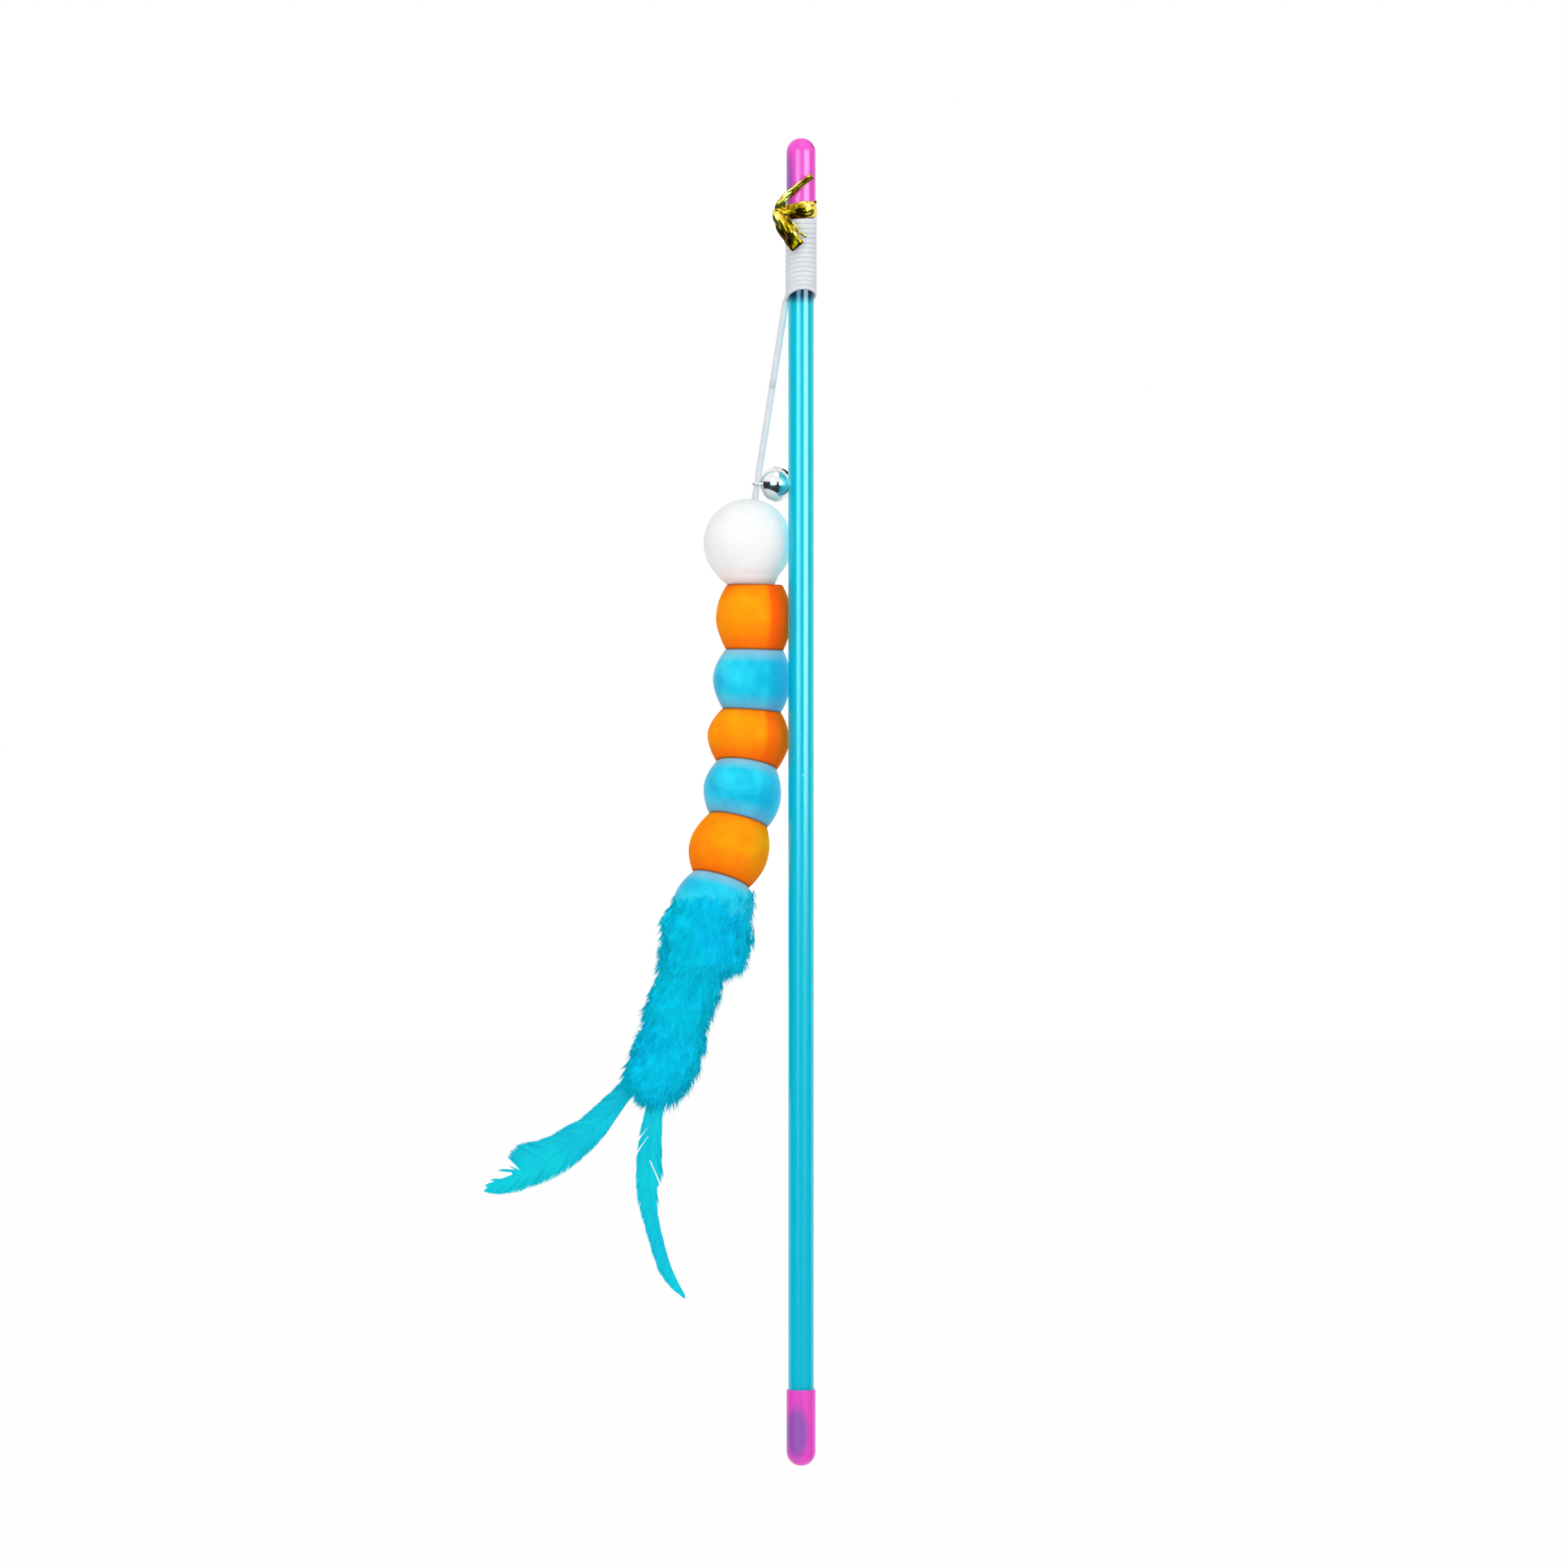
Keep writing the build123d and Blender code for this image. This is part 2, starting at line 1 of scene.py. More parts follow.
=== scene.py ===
# %% [markdown]
# # A cat teaser wand
# The toy is a clear blue tube with pink end caps. An elastic cord is wound on its tip,
# held by a gold ribbon tie, and carries a bell, a chain of plush beads and two feathers.
# The hard pieces come from CAD as a fixed frame. This lesson gives them their finishes
# and builds every soft piece anew: cord, beads, fluff, feathers and ribbon.

# %% Load the frame
import json
import math
import random

import bmesh
import bpy
from mathutils import Matrix, Vector, noise

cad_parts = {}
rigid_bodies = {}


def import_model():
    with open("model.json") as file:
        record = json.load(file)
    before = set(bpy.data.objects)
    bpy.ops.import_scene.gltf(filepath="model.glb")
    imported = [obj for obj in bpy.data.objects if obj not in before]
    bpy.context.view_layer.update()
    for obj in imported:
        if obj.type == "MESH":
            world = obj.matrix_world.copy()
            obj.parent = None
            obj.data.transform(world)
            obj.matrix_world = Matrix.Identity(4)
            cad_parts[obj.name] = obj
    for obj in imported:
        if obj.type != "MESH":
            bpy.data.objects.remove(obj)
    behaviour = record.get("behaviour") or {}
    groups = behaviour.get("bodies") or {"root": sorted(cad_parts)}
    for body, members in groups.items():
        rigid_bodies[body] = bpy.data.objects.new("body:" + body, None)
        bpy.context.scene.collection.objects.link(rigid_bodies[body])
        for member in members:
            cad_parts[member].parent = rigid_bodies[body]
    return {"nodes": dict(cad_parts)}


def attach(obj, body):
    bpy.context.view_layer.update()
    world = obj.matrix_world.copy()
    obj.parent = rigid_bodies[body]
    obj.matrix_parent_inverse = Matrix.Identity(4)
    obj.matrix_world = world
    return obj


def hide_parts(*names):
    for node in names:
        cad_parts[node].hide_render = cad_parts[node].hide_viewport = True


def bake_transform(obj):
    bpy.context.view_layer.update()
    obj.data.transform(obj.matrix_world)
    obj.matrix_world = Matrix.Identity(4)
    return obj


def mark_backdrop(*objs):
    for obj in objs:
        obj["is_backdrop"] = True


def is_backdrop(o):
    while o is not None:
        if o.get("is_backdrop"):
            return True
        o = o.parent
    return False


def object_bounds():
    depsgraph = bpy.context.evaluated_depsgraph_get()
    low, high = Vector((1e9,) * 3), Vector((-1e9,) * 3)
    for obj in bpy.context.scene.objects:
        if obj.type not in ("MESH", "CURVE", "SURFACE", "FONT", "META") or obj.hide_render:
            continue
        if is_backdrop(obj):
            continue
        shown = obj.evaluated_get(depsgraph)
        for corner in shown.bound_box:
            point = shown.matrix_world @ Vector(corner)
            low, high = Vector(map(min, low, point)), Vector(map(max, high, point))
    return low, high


for leftover in list(bpy.data.objects):
    bpy.data.objects.remove(leftover)
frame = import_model()
nodes = frame["nodes"]
cad_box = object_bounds()
print("CAD nodes:", len(nodes), "box:", [list(corner) for corner in cad_box])

# %% [markdown]
# ## Camera
# A long lens far away keeps upright things upright, as a product photograph does.
# The frame is square and takes in 367 mm at the wand, so the distance follows from the
# lens: width times focal length, divided by the sensor's width.

# %% Camera
MM = 0.001
view_width = 367.08 * MM
view_middle = Vector((-3.99, 0, 148.95)) * MM
lens, sensor = 135, 36
camera_data = bpy.data.cameras.new("camera")
camera_data.lens, camera_data.sensor_width = lens, sensor
camera = bpy.data.objects.new("camera", camera_data)
bpy.context.scene.collection.objects.link(camera)
camera.location = view_middle + Vector((0, -view_width * lens / sensor, 0))
camera.rotation_euler = (math.radians(90), 0, 0)
bpy.context.scene.camera = camera
bpy.context.scene.view_settings.view_transform = "Standard"
print("camera stands", round(-camera.location.y, 3), "m away")

# %% [markdown]
# ## Where the toy hangs
# The chain hangs in one upright plane that passes through the tube's axis. Writing a
# place as "so far out, so high, so far to the side" keeps every table below short.

# %% Toy plane
toy_out = Vector((-0.9099613, 0.4146932, 0))
toy_side = Vector((0.4146932, 0.9099613, 0))
upward = Vector((0, 0, 1))


def toy(out, height, side=0.0):
    """A place in the toy's plane, given in millimetres."""
    return (toy_out * out + upward * height + toy_side * side) * MM


print("10 mm out and 100 mm up is", [round(value, 4) for value in toy(10, 100)])

# %% [markdown]
# ## Meshes: a small kit
# Nearly every soft piece here is a stack of rings: points round a middle line, joined to
# the next ring by four-sided faces. They could be drawn by hand and lofted with a tool.
# Code is better for this toy, because a table of measures then changes a shape at once.

# %% Mesh kit
def add_object(name, data):
    """A new object in the scene, at the origin."""
    made = bpy.data.objects.new(name, data)
    bpy.context.scene.collection.objects.link(made)
    return made


def ring_faces(rings, sides, first=0):
    """Four-sided faces between rings of points that follow each other."""
    faces = []
    for ring in range(rings - 1):
        low, high = first + ring * sides, first + (ring + 1) * sides
        for side in range(sides):
            after = (side + 1) % sides
            faces.append((low + side, low + after, high + after, high + side))
    return faces


def end_faces(rings, sides):
    """The two faces that close a stack of rings."""
    last = (rings - 1) * sides
    return [tuple(range(sides)), tuple(range(last, last + sides))]


def store(mesh, name, values):
    """Keeps one number, or one vector, for each point of a mesh."""
    if isinstance(values[0], float):
        mesh.attributes.new(name, "FLOAT", "POINT").data.foreach_set("value", values)
    else:
        flat = [number for vector in values for number in vector]
        mesh.attributes.new(name, "FLOAT_VECTOR", "POINT").data.foreach_set("vector", flat)


def mesh_from(name, verts, faces, marks=(), weld=False):
    """A smooth mesh with its faces turned outwards; marks are numbers kept for its points."""
    mesh = bpy.data.meshes.new(name)
    mesh.from_pydata([tuple(vert) for vert in verts], [], faces)
    for mark, values in dict(marks).items():
        store(mesh, mark, values)
    work = bmesh.new()
    work.from_mesh(mesh)
    if weld:
        bmesh.ops.remove_doubles(work, verts=work.verts, dist=0.001 * MM)
    bmesh.ops.recalc_face_normals(work, faces=work.faces)
    work.to_mesh(mesh)
    work.free()
    for face in mesh.polygons:
        face.use_smooth = True
    return mesh


print("three rings of eight points have", len(ring_faces(3, 8)), "faces between them")

# %% [markdown]
# ## Finishes: a small kit
# Every finish is one Principled shader fed by a few procedural nodes. A noise makes
# the grain, a ramp turns it into two tones, and a bump makes it catch the light.

# %% Nodes and noise
def new_finish(name, **constants):
    """A material with its constant sockets set, and its tree and main shader."""
    material = bpy.data.materials.new(name)
    material.use_nodes = True
    tree = material.node_tree
    shader = tree.nodes["Principled BSDF"]
    for socket, value in constants.items():
        shader.inputs[socket.replace("_", " ")].default_value = value
    return material, tree, shader


def add(tree, kind, inputs=(), **settings):
    """A node with its settings; an input takes a value, or a link from another node's socket."""
    made = tree.nodes.new(kind)
    for key, value in settings.items():
        setattr(made, key, value)
    for key, value in dict(inputs).items():
        if isinstance(value, bpy.types.NodeSocket):
            tree.links.new(value, made.inputs[key])
        else:
            made.inputs[key].default_value = value
    return made


def place_on(tree):
    """The piece's own coordinates, in metres."""
    return add(tree, "ShaderNodeTexCoord").outputs["Object"]


def grain(tree, scale, stretch=(1, 1, 1), detail=3.0):
    """A noise on the piece's own coordinates, from 0 to 1."""
    mapping = {"Vector": place_on(tree), "Scale": stretch}
    stretched = add(tree, "ShaderNodeMapping", mapping).outputs["Vector"]
    sizes = {"Vector": stretched, "Scale": scale, "Detail": detail}
    return add(tree, "ShaderNodeTexNoise", sizes).outputs["Fac"]


def attribute(tree, name):
    """A number that is stored on the mesh."""
    return add(tree, "ShaderNodeAttribute", attribute_name=name).outputs["Fac"]


print("materials that come with the frame:", len(bpy.data.materials))


# %% Colour, gloss and relief
def tones(tree, factor, *stops):
    """Colours along a factor, as (place, colour) stops."""
    made = add(tree, "ShaderNodeValToRGB", {"Fac": factor})
    ramp = made.color_ramp
    while len(ramp.elements) < len(stops):
        ramp.elements.new(0.5)
    for element, (place, colour) in zip(ramp.elements, stops):
        element.position, element.color = place, (*colour, 1)
    return made.outputs["Color"]


def mixed(tree, factor, first, second, blend="MIX"):
    """Two colours mixed by a factor; each of the three is a value or a socket."""
    parts = {0: factor, 6: first, 7: second}
    return add(tree, "ShaderNodeMix", parts, data_type="RGBA", blend_type=blend).outputs[2]


def paint(tree, shader, colour, shade=None):
    """The shader's colour, multiplied by a second tone where one is given."""
    if shade is not None:
        colour = mixed(tree, 1.0, colour, shade, "MULTIPLY")
    tree.links.new(colour, shader.inputs["Base Color"])


def vary_gloss(tree, shader, factor, least, most):
    """A roughness that changes with a factor."""
    span = {"Value": factor, "To Min": least, "To Max": most}
    tree.links.new(add(tree, "ShaderNodeMapRange", span).outputs["Result"], shader.inputs["Roughness"])


def relief(tree, shader, height, strength, depth):
    """Bump on the shader's normal, with its depth in metres."""
    sizes = {"Height": height, "Strength": strength, "Distance": depth}
    tree.links.new(add(tree, "ShaderNodeBump", sizes).outputs["Normal"], shader.inputs["Normal"])


def dress(finish, *names):
    """Gives CAD nodes a finish and says so."""
    for name in names:
        nodes[name].material_slots[0].material = finish
    print(finish.name, "with", len(finish.node_tree.nodes), "nodes on", ", ".join(names))


print("pieces that wait for a finish:", ", ".join(nodes))

# %% [markdown]
# ## Tube
# The tube is thin extruded plastic: it lets light through, and the die leaves fine lines
# along it. It keeps its CAD shape, so only its finish is made here. Clear plastic throws
# hardly any shadow, so the tube casts none on the beads beside it. Where the cord is
# wound round it no light comes in from behind, and that shade is painted into the tube's
# colour as a dark blue, under the winding and just below it.

# %% Tube finish
tube_plastic, tree, shader = new_finish(
    "tube_plastic", Roughness=0.17, IOR=1.49, Transmission_Weight=0.68,
)
die_lines = grain(tree, 500, stretch=(1, 1, 0.004), detail=0)
tube_colour = tones(tree, die_lines, (0.3, (0.0, 0.605, 0.74)), (0.7, (0.0, 0.685, 0.79)))
place = place_on(tree)
specks = add(tree, "ShaderNodeTexVoronoi", {"Vector": place, "Scale": 140.0}).outputs["Distance"]
speck_mask = tones(tree, specks, (0.02, (1, 1, 1)), (0.045, (0, 0, 0)))
tube_colour = mixed(tree, speck_mask, tube_colour, (0.75, 0.95, 1.0, 1))
# Painted shade: the tube's colour turns dark blue just below the winding and under it, as the shade inside
# the tube there.
winding_shade_foot, winding_shade_full = 261.2 * MM, 263.0 * MM
height = add(tree, "ShaderNodeSeparateXYZ", {0: place}).outputs["Z"]
winding_shade_span = {"Value": height, "From Min": winding_shade_foot, "From Max": winding_shade_full}
painted_winding_shade = add(tree, "ShaderNodeMapRange", winding_shade_span).outputs["Result"]
paint(tree, shader, mixed(tree, painted_winding_shade, tube_colour, (0.0, 0.08, 0.20, 1)))
relief(tree, shader, die_lines, strength=0.08, depth=0.1 * MM)
nodes["wand_tube"].visible_shadow = False
dress(tube_plastic, "wand_tube")

# %% [markdown]
# ## Caps
# The caps are soft vinyl, dipped, with fine runs along them. A violet patch is painted on
# the left side of each cap as painted shade, where the blue tube shows darkly through the
# pink. A spherical gradient, moved and stretched by a Mapping node, paints that patch
# without any image.

# %% Cap finish
def cap_finish(name, middle, reach):
    """Dipped vinyl with a painted violet shade; its middle and reach are X and Z in millimetres."""
    material, tree, shader = new_finish(name, Roughness=0.3, IOR=1.5, Transmission_Weight=0.12)
    dip_lines = grain(tree, 350, stretch=(1, 1, 0.05), detail=0)
    vinyl = tones(tree, dip_lines, (0.3, (0.80, 0.04, 0.54)), (0.7, (0.90, 0.07, 0.64)))
    centred = add(tree, "ShaderNodeMapping", {
        "Vector": place_on(tree),
        "Scale": (1 / (reach[0] * MM), 0, 1 / (reach[1] * MM)),
        "Location": (-middle[0] / reach[0], 0, -middle[1] / reach[1]),
    }).outputs["Vector"]
    # Painted shade: a violet patch on the cap's left side, centred on middle and as wide as reach.
    patch = add(tree, "ShaderNodeTexGradient", {"Vector": centred}, gradient_type="SPHERICAL")
    painted_violet_shade = tones(tree, patch.outputs["Fac"], (0.05, (0, 0, 0)), (0.45, (1, 1, 1)))
    paint(tree, shader, mixed(tree, painted_violet_shade, vinyl, (0.34, 0.08, 0.50, 1)))
    relief(tree, shader, dip_lines, strength=0.06, depth=0.1 * MM)
    return material


dress(cap_finish("tip_vinyl", middle=(-4.2, 290.0), reach=(3.0, 10.0)), "tip_cap")
dress(cap_finish("handle_vinyl", middle=(-1.1, -2.6), reach=(3.6, 7.8)), "handle_cap")

# %% [markdown]
# ## The elastic cord
# One cord is wound on the tube in about fifteen tight turns and then hangs down, pulled
# straight by the toy. Its line is a NURBS spline through the same route as in CAD, with
# sixteen points a turn. A quadratic spline runs a little inside its points, so the
# helix of points is a little wider than the helix of cord.

# %% Cord route
winding_turns, winding_pitch, winding_top = 14.75, 1.215, 281.0
points_per_turn = 16
tube_radius, cord_gap = 3.0, 0.02
flat_half = 0.31
point_radius = (tube_radius + flat_half + cord_gap) / math.cos(math.pi / points_per_turn)
last_tilt, tilt_growth, tilt_front = 1.7, 1.5, math.radians(277)


def tilt_rise(turns, angle):
    """How far a turn is pulled up at the front, which grows towards the last one."""
    tilt = last_tilt * (max(turns, 0) / winding_turns) ** tilt_growth
    return tilt * math.cos(angle - tilt_front)


def winding_route():
    """The wound turns from the top down, in millimetres."""
    route = []
    for index in range(round(winding_turns * points_per_turn) + 1):
        turns = index / points_per_turn
        angle = math.radians(90) - 2 * math.pi * turns
        height = winding_top - winding_pitch * turns + tilt_rise(turns, angle)
        route.append((point_radius * math.cos(angle), point_radius * math.sin(angle), height))
    return route


lead_in = [(-0.998, 1.65, 281.06), (-0.998, 2.45, 281.06), (-0.998, 3.36, 281.06)]
exit_run = [(-3.55, 1.25, 262.62), (-3.68, 1.56, 261.55), (-3.909, 1.622, 260.089)]
exit_pivot = Vector(exit_run[-1]) * MM
head_pivot = Vector((-9.68, 4.385, 223.468)) * MM
head_entry = Vector((-10.829, 4.935, 216.179)) * MM
head_joint = Vector((-10.926, 4.979, 195.678)) * MM
cord_split = exit_pivot.lerp(head_pivot, 0.5)
upper_run = [exit_pivot.lerp(cord_split, share) / MM for share in (0.2, 0.6, 1.0)]
upper_route = lead_in + winding_route() + exit_run + upper_run
lower_run = [cord_split, cord_split.lerp(head_pivot, 0.5), head_pivot]
lower_run += [head_pivot.lerp(head_entry, 0.6), head_entry]
lower_run += [head_entry.lerp(head_joint, share) for share in (0.3, 0.97)]
lower_route = [point / MM for point in lower_run]
print("cord route:", len(upper_route), "and", len(lower_route), "points")


# %% [markdown]
# ## Smooth lines
# A curve object could carry a bevel and be the cord at once. Its bare line is more use
# here: read back as points, it gives the cord's length, and any section can follow it.

# %% Smooth lines
def spline_points(name, route):
    """Points along the smooth NURBS line of a route, in metres."""
    data = bpy.data.curves.new(name, "CURVE")
    data.dimensions = "3D"
    data.resolution_u = 4
    spline = data.splines.new("NURBS")
    spline.points.add(len(route) - 1)
    for point, place in zip(spline.points, route):
        point.co = (*(Vector(place) * MM), 1)
    spline.order_u = 3
    spline.use_endpoint_u = True
    holder = add_object(name, data)
    line = bpy.data.meshes.new_from_object(holder)
    points = [vertex.co.copy() for vertex in line.vertices]
    bpy.data.objects.remove(holder)
    bpy.data.meshes.remove(line)
    return points


def tangents(points):
    """The direction of a line at each of its points."""
    last = len(points) - 1
    return [(points[min(i + 1, last)] - points[max(i - 1, 0)]).normalized() for i in range(last + 1)]


def travelled(points):
    """How far along a line each of its points is."""
    ways = [0.0]
    for a, b in zip(points, points[1:]):
        ways.append(ways[-1] + (b - a).length)
    return ways


upper_points = spline_points("cord_upper_line", upper_route)
lower_points = spline_points("cord_lower_line", lower_route)
print("cord lengths:", round(travelled(upper_points)[-1], 4), round(travelled(lower_points)[-1], 4))


# %% [markdown]
# ## Sweep
# The sweep sets one ring of points round each point of a line. It also lays a UV map
# along the line, so that a plait can follow the cord round every turn. The end faces
# stay flat-shaded: smoothed, they would darken the rim where two stretches meet.

# %% Sweep
def map_along(mesh, points, sides):
    """A UV map in which U runs along the line in centimetres and V goes once round it."""
    ways = travelled(points)
    layer = mesh.uv_layers.new(name="UVMap")
    for face in mesh.polygons:
        turns = [mesh.loops[i].vertex_index % sides for i in face.loop_indices]
        wraps = max(turns) - min(turns) > sides / 2
        for i, turn in zip(face.loop_indices, turns):
            ring = mesh.loops[i].vertex_index // sides
            round_share = (turn + sides if wraps and turn < sides / 2 else turn) / sides
            layer.data[i].uv = (ways[ring] * 100, round_share)


def sweep(name, points, sections, outwards):
    """A closed tube with one section for each point of a line."""
    sides = len(sections[0])
    verts = []
    for point, way, section, normal in zip(points, tangents(points), sections, outwards):
        across = way.cross(normal).normalized()
        facing = across.cross(way).normalized()
        verts += [point + across * a + facing * b for a, b in section]
    faces = ring_faces(len(points), sides) + end_faces(len(points), sides)
    mesh = mesh_from(name, verts, faces)
    for end in (-1, -2):
        mesh.polygons[end].use_smooth = False
    map_along(mesh, points, sides)
    return mesh


def oval(half_across, half_out, sides=14, squareness=2.0):
    """A rounded section, as pairs across and outwards in metres; 2 is an ellipse."""
    ring = []
    for side in range(sides):
        angle = 2 * math.pi * side / sides
        c, s = math.cos(angle), math.sin(angle)
        ring.append((
            math.copysign(abs(c) ** (2 / squareness), c) * half_across * MM,
            math.copysign(abs(s) ** (2 / squareness), s) * half_out * MM,
        ))
    return ring


print("a cord section has", len(oval(1, 1)), "points")

# %% [markdown]
# ## Cord finish
# The cord is a braid of white threads round rubber. Two waves that cross at a slant,
# multiplied, give the little diamonds of a plait. They could be modelled as strands, but
# at half a millimetre only their tone and bump can be seen.

# %% Cord finish
plait_slant = 38
cord_elastic, tree, shader = new_finish(
    "cord_elastic", Roughness=0.75, Sheen_Weight=0.25, Sheen_Roughness=0.5,
)
uv = add(tree, "ShaderNodeTexCoord").outputs["UV"]
threads = []
for slant in (plait_slant, -plait_slant):
    lay = {"Vector": uv, "Scale": (9.0, 3.0, 1.0), "Rotation": (0, 0, math.radians(slant))}
    laid = add(tree, "ShaderNodeMapping", lay).outputs["Vector"]
    wave = {"Vector": laid, "Scale": 1.0, "Distortion": 0.6, "Detail": 1.0}
    threads.append(add(tree, "ShaderNodeTexWave", wave).outputs["Fac"])
plait = add(tree, "ShaderNodeMath", {0: threads[0], 1: threads[1]}, operation="MULTIPLY").outputs[0]
thread_colour = tones(tree, plait, (0.0, (0.61, 0.63, 0.66)), (0.6, (0.74, 0.75, 0.77)))
dust = tones(tree, grain(tree, 300), (0.35, (0.93, 0.93, 0.94)), (0.65, (1, 1, 1)))
paint(tree, shader, thread_colour, dust)
relief(tree, shader, plait, strength=0.35, depth=0.1 * MM)
print("cord finish:", len(tree.nodes), "nodes")


# %% [markdown]
# ## Cord sections
# Stretched elastic goes flat where it is wound, so the section is wide, thin and nearly
# square there, and rounds off where the cord leaves the tube. Each wound section is as
# wide as its turn has room for. In the bell's wire eye the cord is drawn in again.

# %% Cord sections
wide_share = 0.497
free_across, free_out = 0.62, 0.8
wound_squareness, free_squareness = 6.5, 2.0
rounding_run = 1.6
eye_height, eye_half, eye_reach = 219.4, 0.62, 1.6


def ease(value):
    """A smooth step from 0 to 1."""
    value = min(max(value, 0.0), 1.0)
    return value * value * (3 - 2 * value)


def upper_section(point):
    """Flat on the tube, as wide as its turn, and rounder below the last turn."""
    height, angle = point.z / MM, math.atan2(point.y, point.x)
    free = ease((winding_top - winding_pitch * winding_turns - height) / rounding_run)
    turns = min(max((winding_top - height) / winding_pitch, 0.0), winding_turns)
    wide = wide_share * (winding_pitch - tilt_rise(turns + 1, angle) + tilt_rise(turns, angle))
    across = wide + (free_across - wide) * free
    out = flat_half + (free_out - flat_half) * free
    return oval(across, out, squareness=wound_squareness + (free_squareness - wound_squareness) * free)


def lower_section(point):
    """Nearly round, and drawn in where it passes the bell's eye."""
    in_eye = math.exp(-(((point.z / MM - eye_height) / eye_reach) ** 2))
    out = free_out + (eye_half - free_out) * in_eye
    return oval(min(free_across, out), out, squareness=free_squareness)


upper_sections = [upper_section(point) for point in upper_points]
lower_sections = [lower_section(point) for point in lower_points]
print("cord sections:", len(upper_sections), "and", len(lower_sections))


# %% Sweep the cord
straight_out = 0.8


def radial(point):
    """The direction away from the tube's axis."""
    return Vector((point.x, point.y, 0)).normalized()


def cord_outwards(points):
    """The outward direction along the cord, carried on where it runs straight out of the tube."""
    found = []
    for point, way in zip(points, tangents(points)):
        level = radial(point)
        found.append(level if abs(level.dot(way)) < straight_out else None)
    known = next(normal for normal in found if normal is not None)
    return [normal if normal is not None else known for normal in found]


wound_mesh = sweep("cord_wound", upper_points, upper_sections, cord_outwards(upper_points))
hanging_mesh = sweep("cord_hanging", lower_points, lower_sections, [radial(p) for p in lower_points])
cord_wound = add_object("cord_wound", wound_mesh)
cord_hanging = add_object("cord_hanging", hanging_mesh)
for piece in (cord_wound, cord_hanging):
    piece.data.materials.append(cord_elastic)
    print(piece.name, "faces:", len(piece.data.polygons))

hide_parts("cord_winding")
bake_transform(cord_wound)
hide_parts("cord_upper", "cord_lower")
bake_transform(cord_hanging)
print("cord split at", [round(value, 4) for value in cord_split])

# %% [markdown]
# ## Plush beads
# Each bead is a soft ball squeezed flat between its neighbours. It is lofted between two
# squeeze planes, one at each joint of the chain: rings of points go from the upper rim
# out to the belly and in again to the lower rim. Neighbours share a plane, so they meet
# along one neat groove. The lower planes lean back a little, as the chain curls.

# %% Bead tables
# Joints from the head down: distance out and height, then how far the squeeze plane leans back
chain = [
    (12.007, 195.678), (12.007, 180.478), (12.706, 166.195), (14.065, 153.267),
    (16.227, 140.346), (20.769, 126.366), (24.618, 114.158),
]
plane_leans_out = [0.0, 1.4, 4.4, 9.0, 15.0, 17.7, 17.5]
plane_leans_front = [0.0, 1.0, 4.0, 17.0, 18.0, 21.0, 10.0]
rims = [6.5, 6.7, 6.8, 7.0, 6.9, 6.7, 6.0]
# Name, body, next body, belly radius, how much fuller it is on the outer side
beads = [
    ("orange_bead_1", "orange_1", "blue_1", 8.75, 0.3),
    ("blue_bead_1", "blue_1", "orange_2", 8.85, 0.7),
    ("orange_bead_2", "orange_2", "blue_2", 9.4, 0.45),
    ("blue_bead_2", "blue_2", "orange_3", 9.2, 0.1),
    ("orange_bead_3", "orange_3", "tail", 9.2, 0.4),
    ("tail_bead", "tail", None, 9.3, 0.2),
]


def plane_normal(index):
    """The upward normal of a squeeze plane."""
    out, front = math.radians(plane_leans_out[index]), math.radians(plane_leans_front[index])
    normal = upward * math.cos(out) - toy_out * math.sin(out)
    return Matrix.Rotation(-front, 3, Vector((1, 0, 0))) @ normal


print("beads:", len(beads), "between", len(chain), "planes")

# %% [markdown]
# ## Loft a bead
# A subdivided ball could be pressed flat with a lattice. Rings are surer, because the
# rims then lie in the squeeze planes, a hair's breadth from the neighbour's. Noise makes
# each bead a little uneven. Every point keeps two marks for the finish: its place from
# groove to groove, which places the painted light and shade near the grooves, and how much
# it leans on the tube, which places the tube's painted shadow.

# %% Loft a bead
# Rings of the dished ends: share of the rim's radius, and how deep it is sunk
dish = [(0.0, 0.9), (0.55, 0.55), (0.9, 0.12)]
lump_size, lump_height, lump_shift = 0.22, 0.14, 9.1
roundness, seam_share = 0.85, 0.001
# Where round the bead the tube's painted shadow starts, how soft its edge is, and within how many mm of the
# tube it is painted.
tube_shadow_start, tube_shadow_span, tube_shadow_room = 0.72, 0.11, 4


def bead_rings(index, belly, rows=34):
    """Radius, place from top to bottom and sink of each ring of a bead."""
    upper, lower = rims[index], rims[index + 1]
    rings = [(upper * share, 0.0, sink) for share, sink in dish]
    for row in range(rows + 1):
        place = (1 - math.cos(math.pi * row / rows)) / 2
        bulge = max(math.sin(math.pi * place), 0.0) ** roundness
        rim = upper + (lower - upper) * place
        rings.append((rim + (belly - rim) * bulge, place, 0.0))
    return rings + [(lower * share, 1.0, -sink) for share, sink in reversed(dish)]


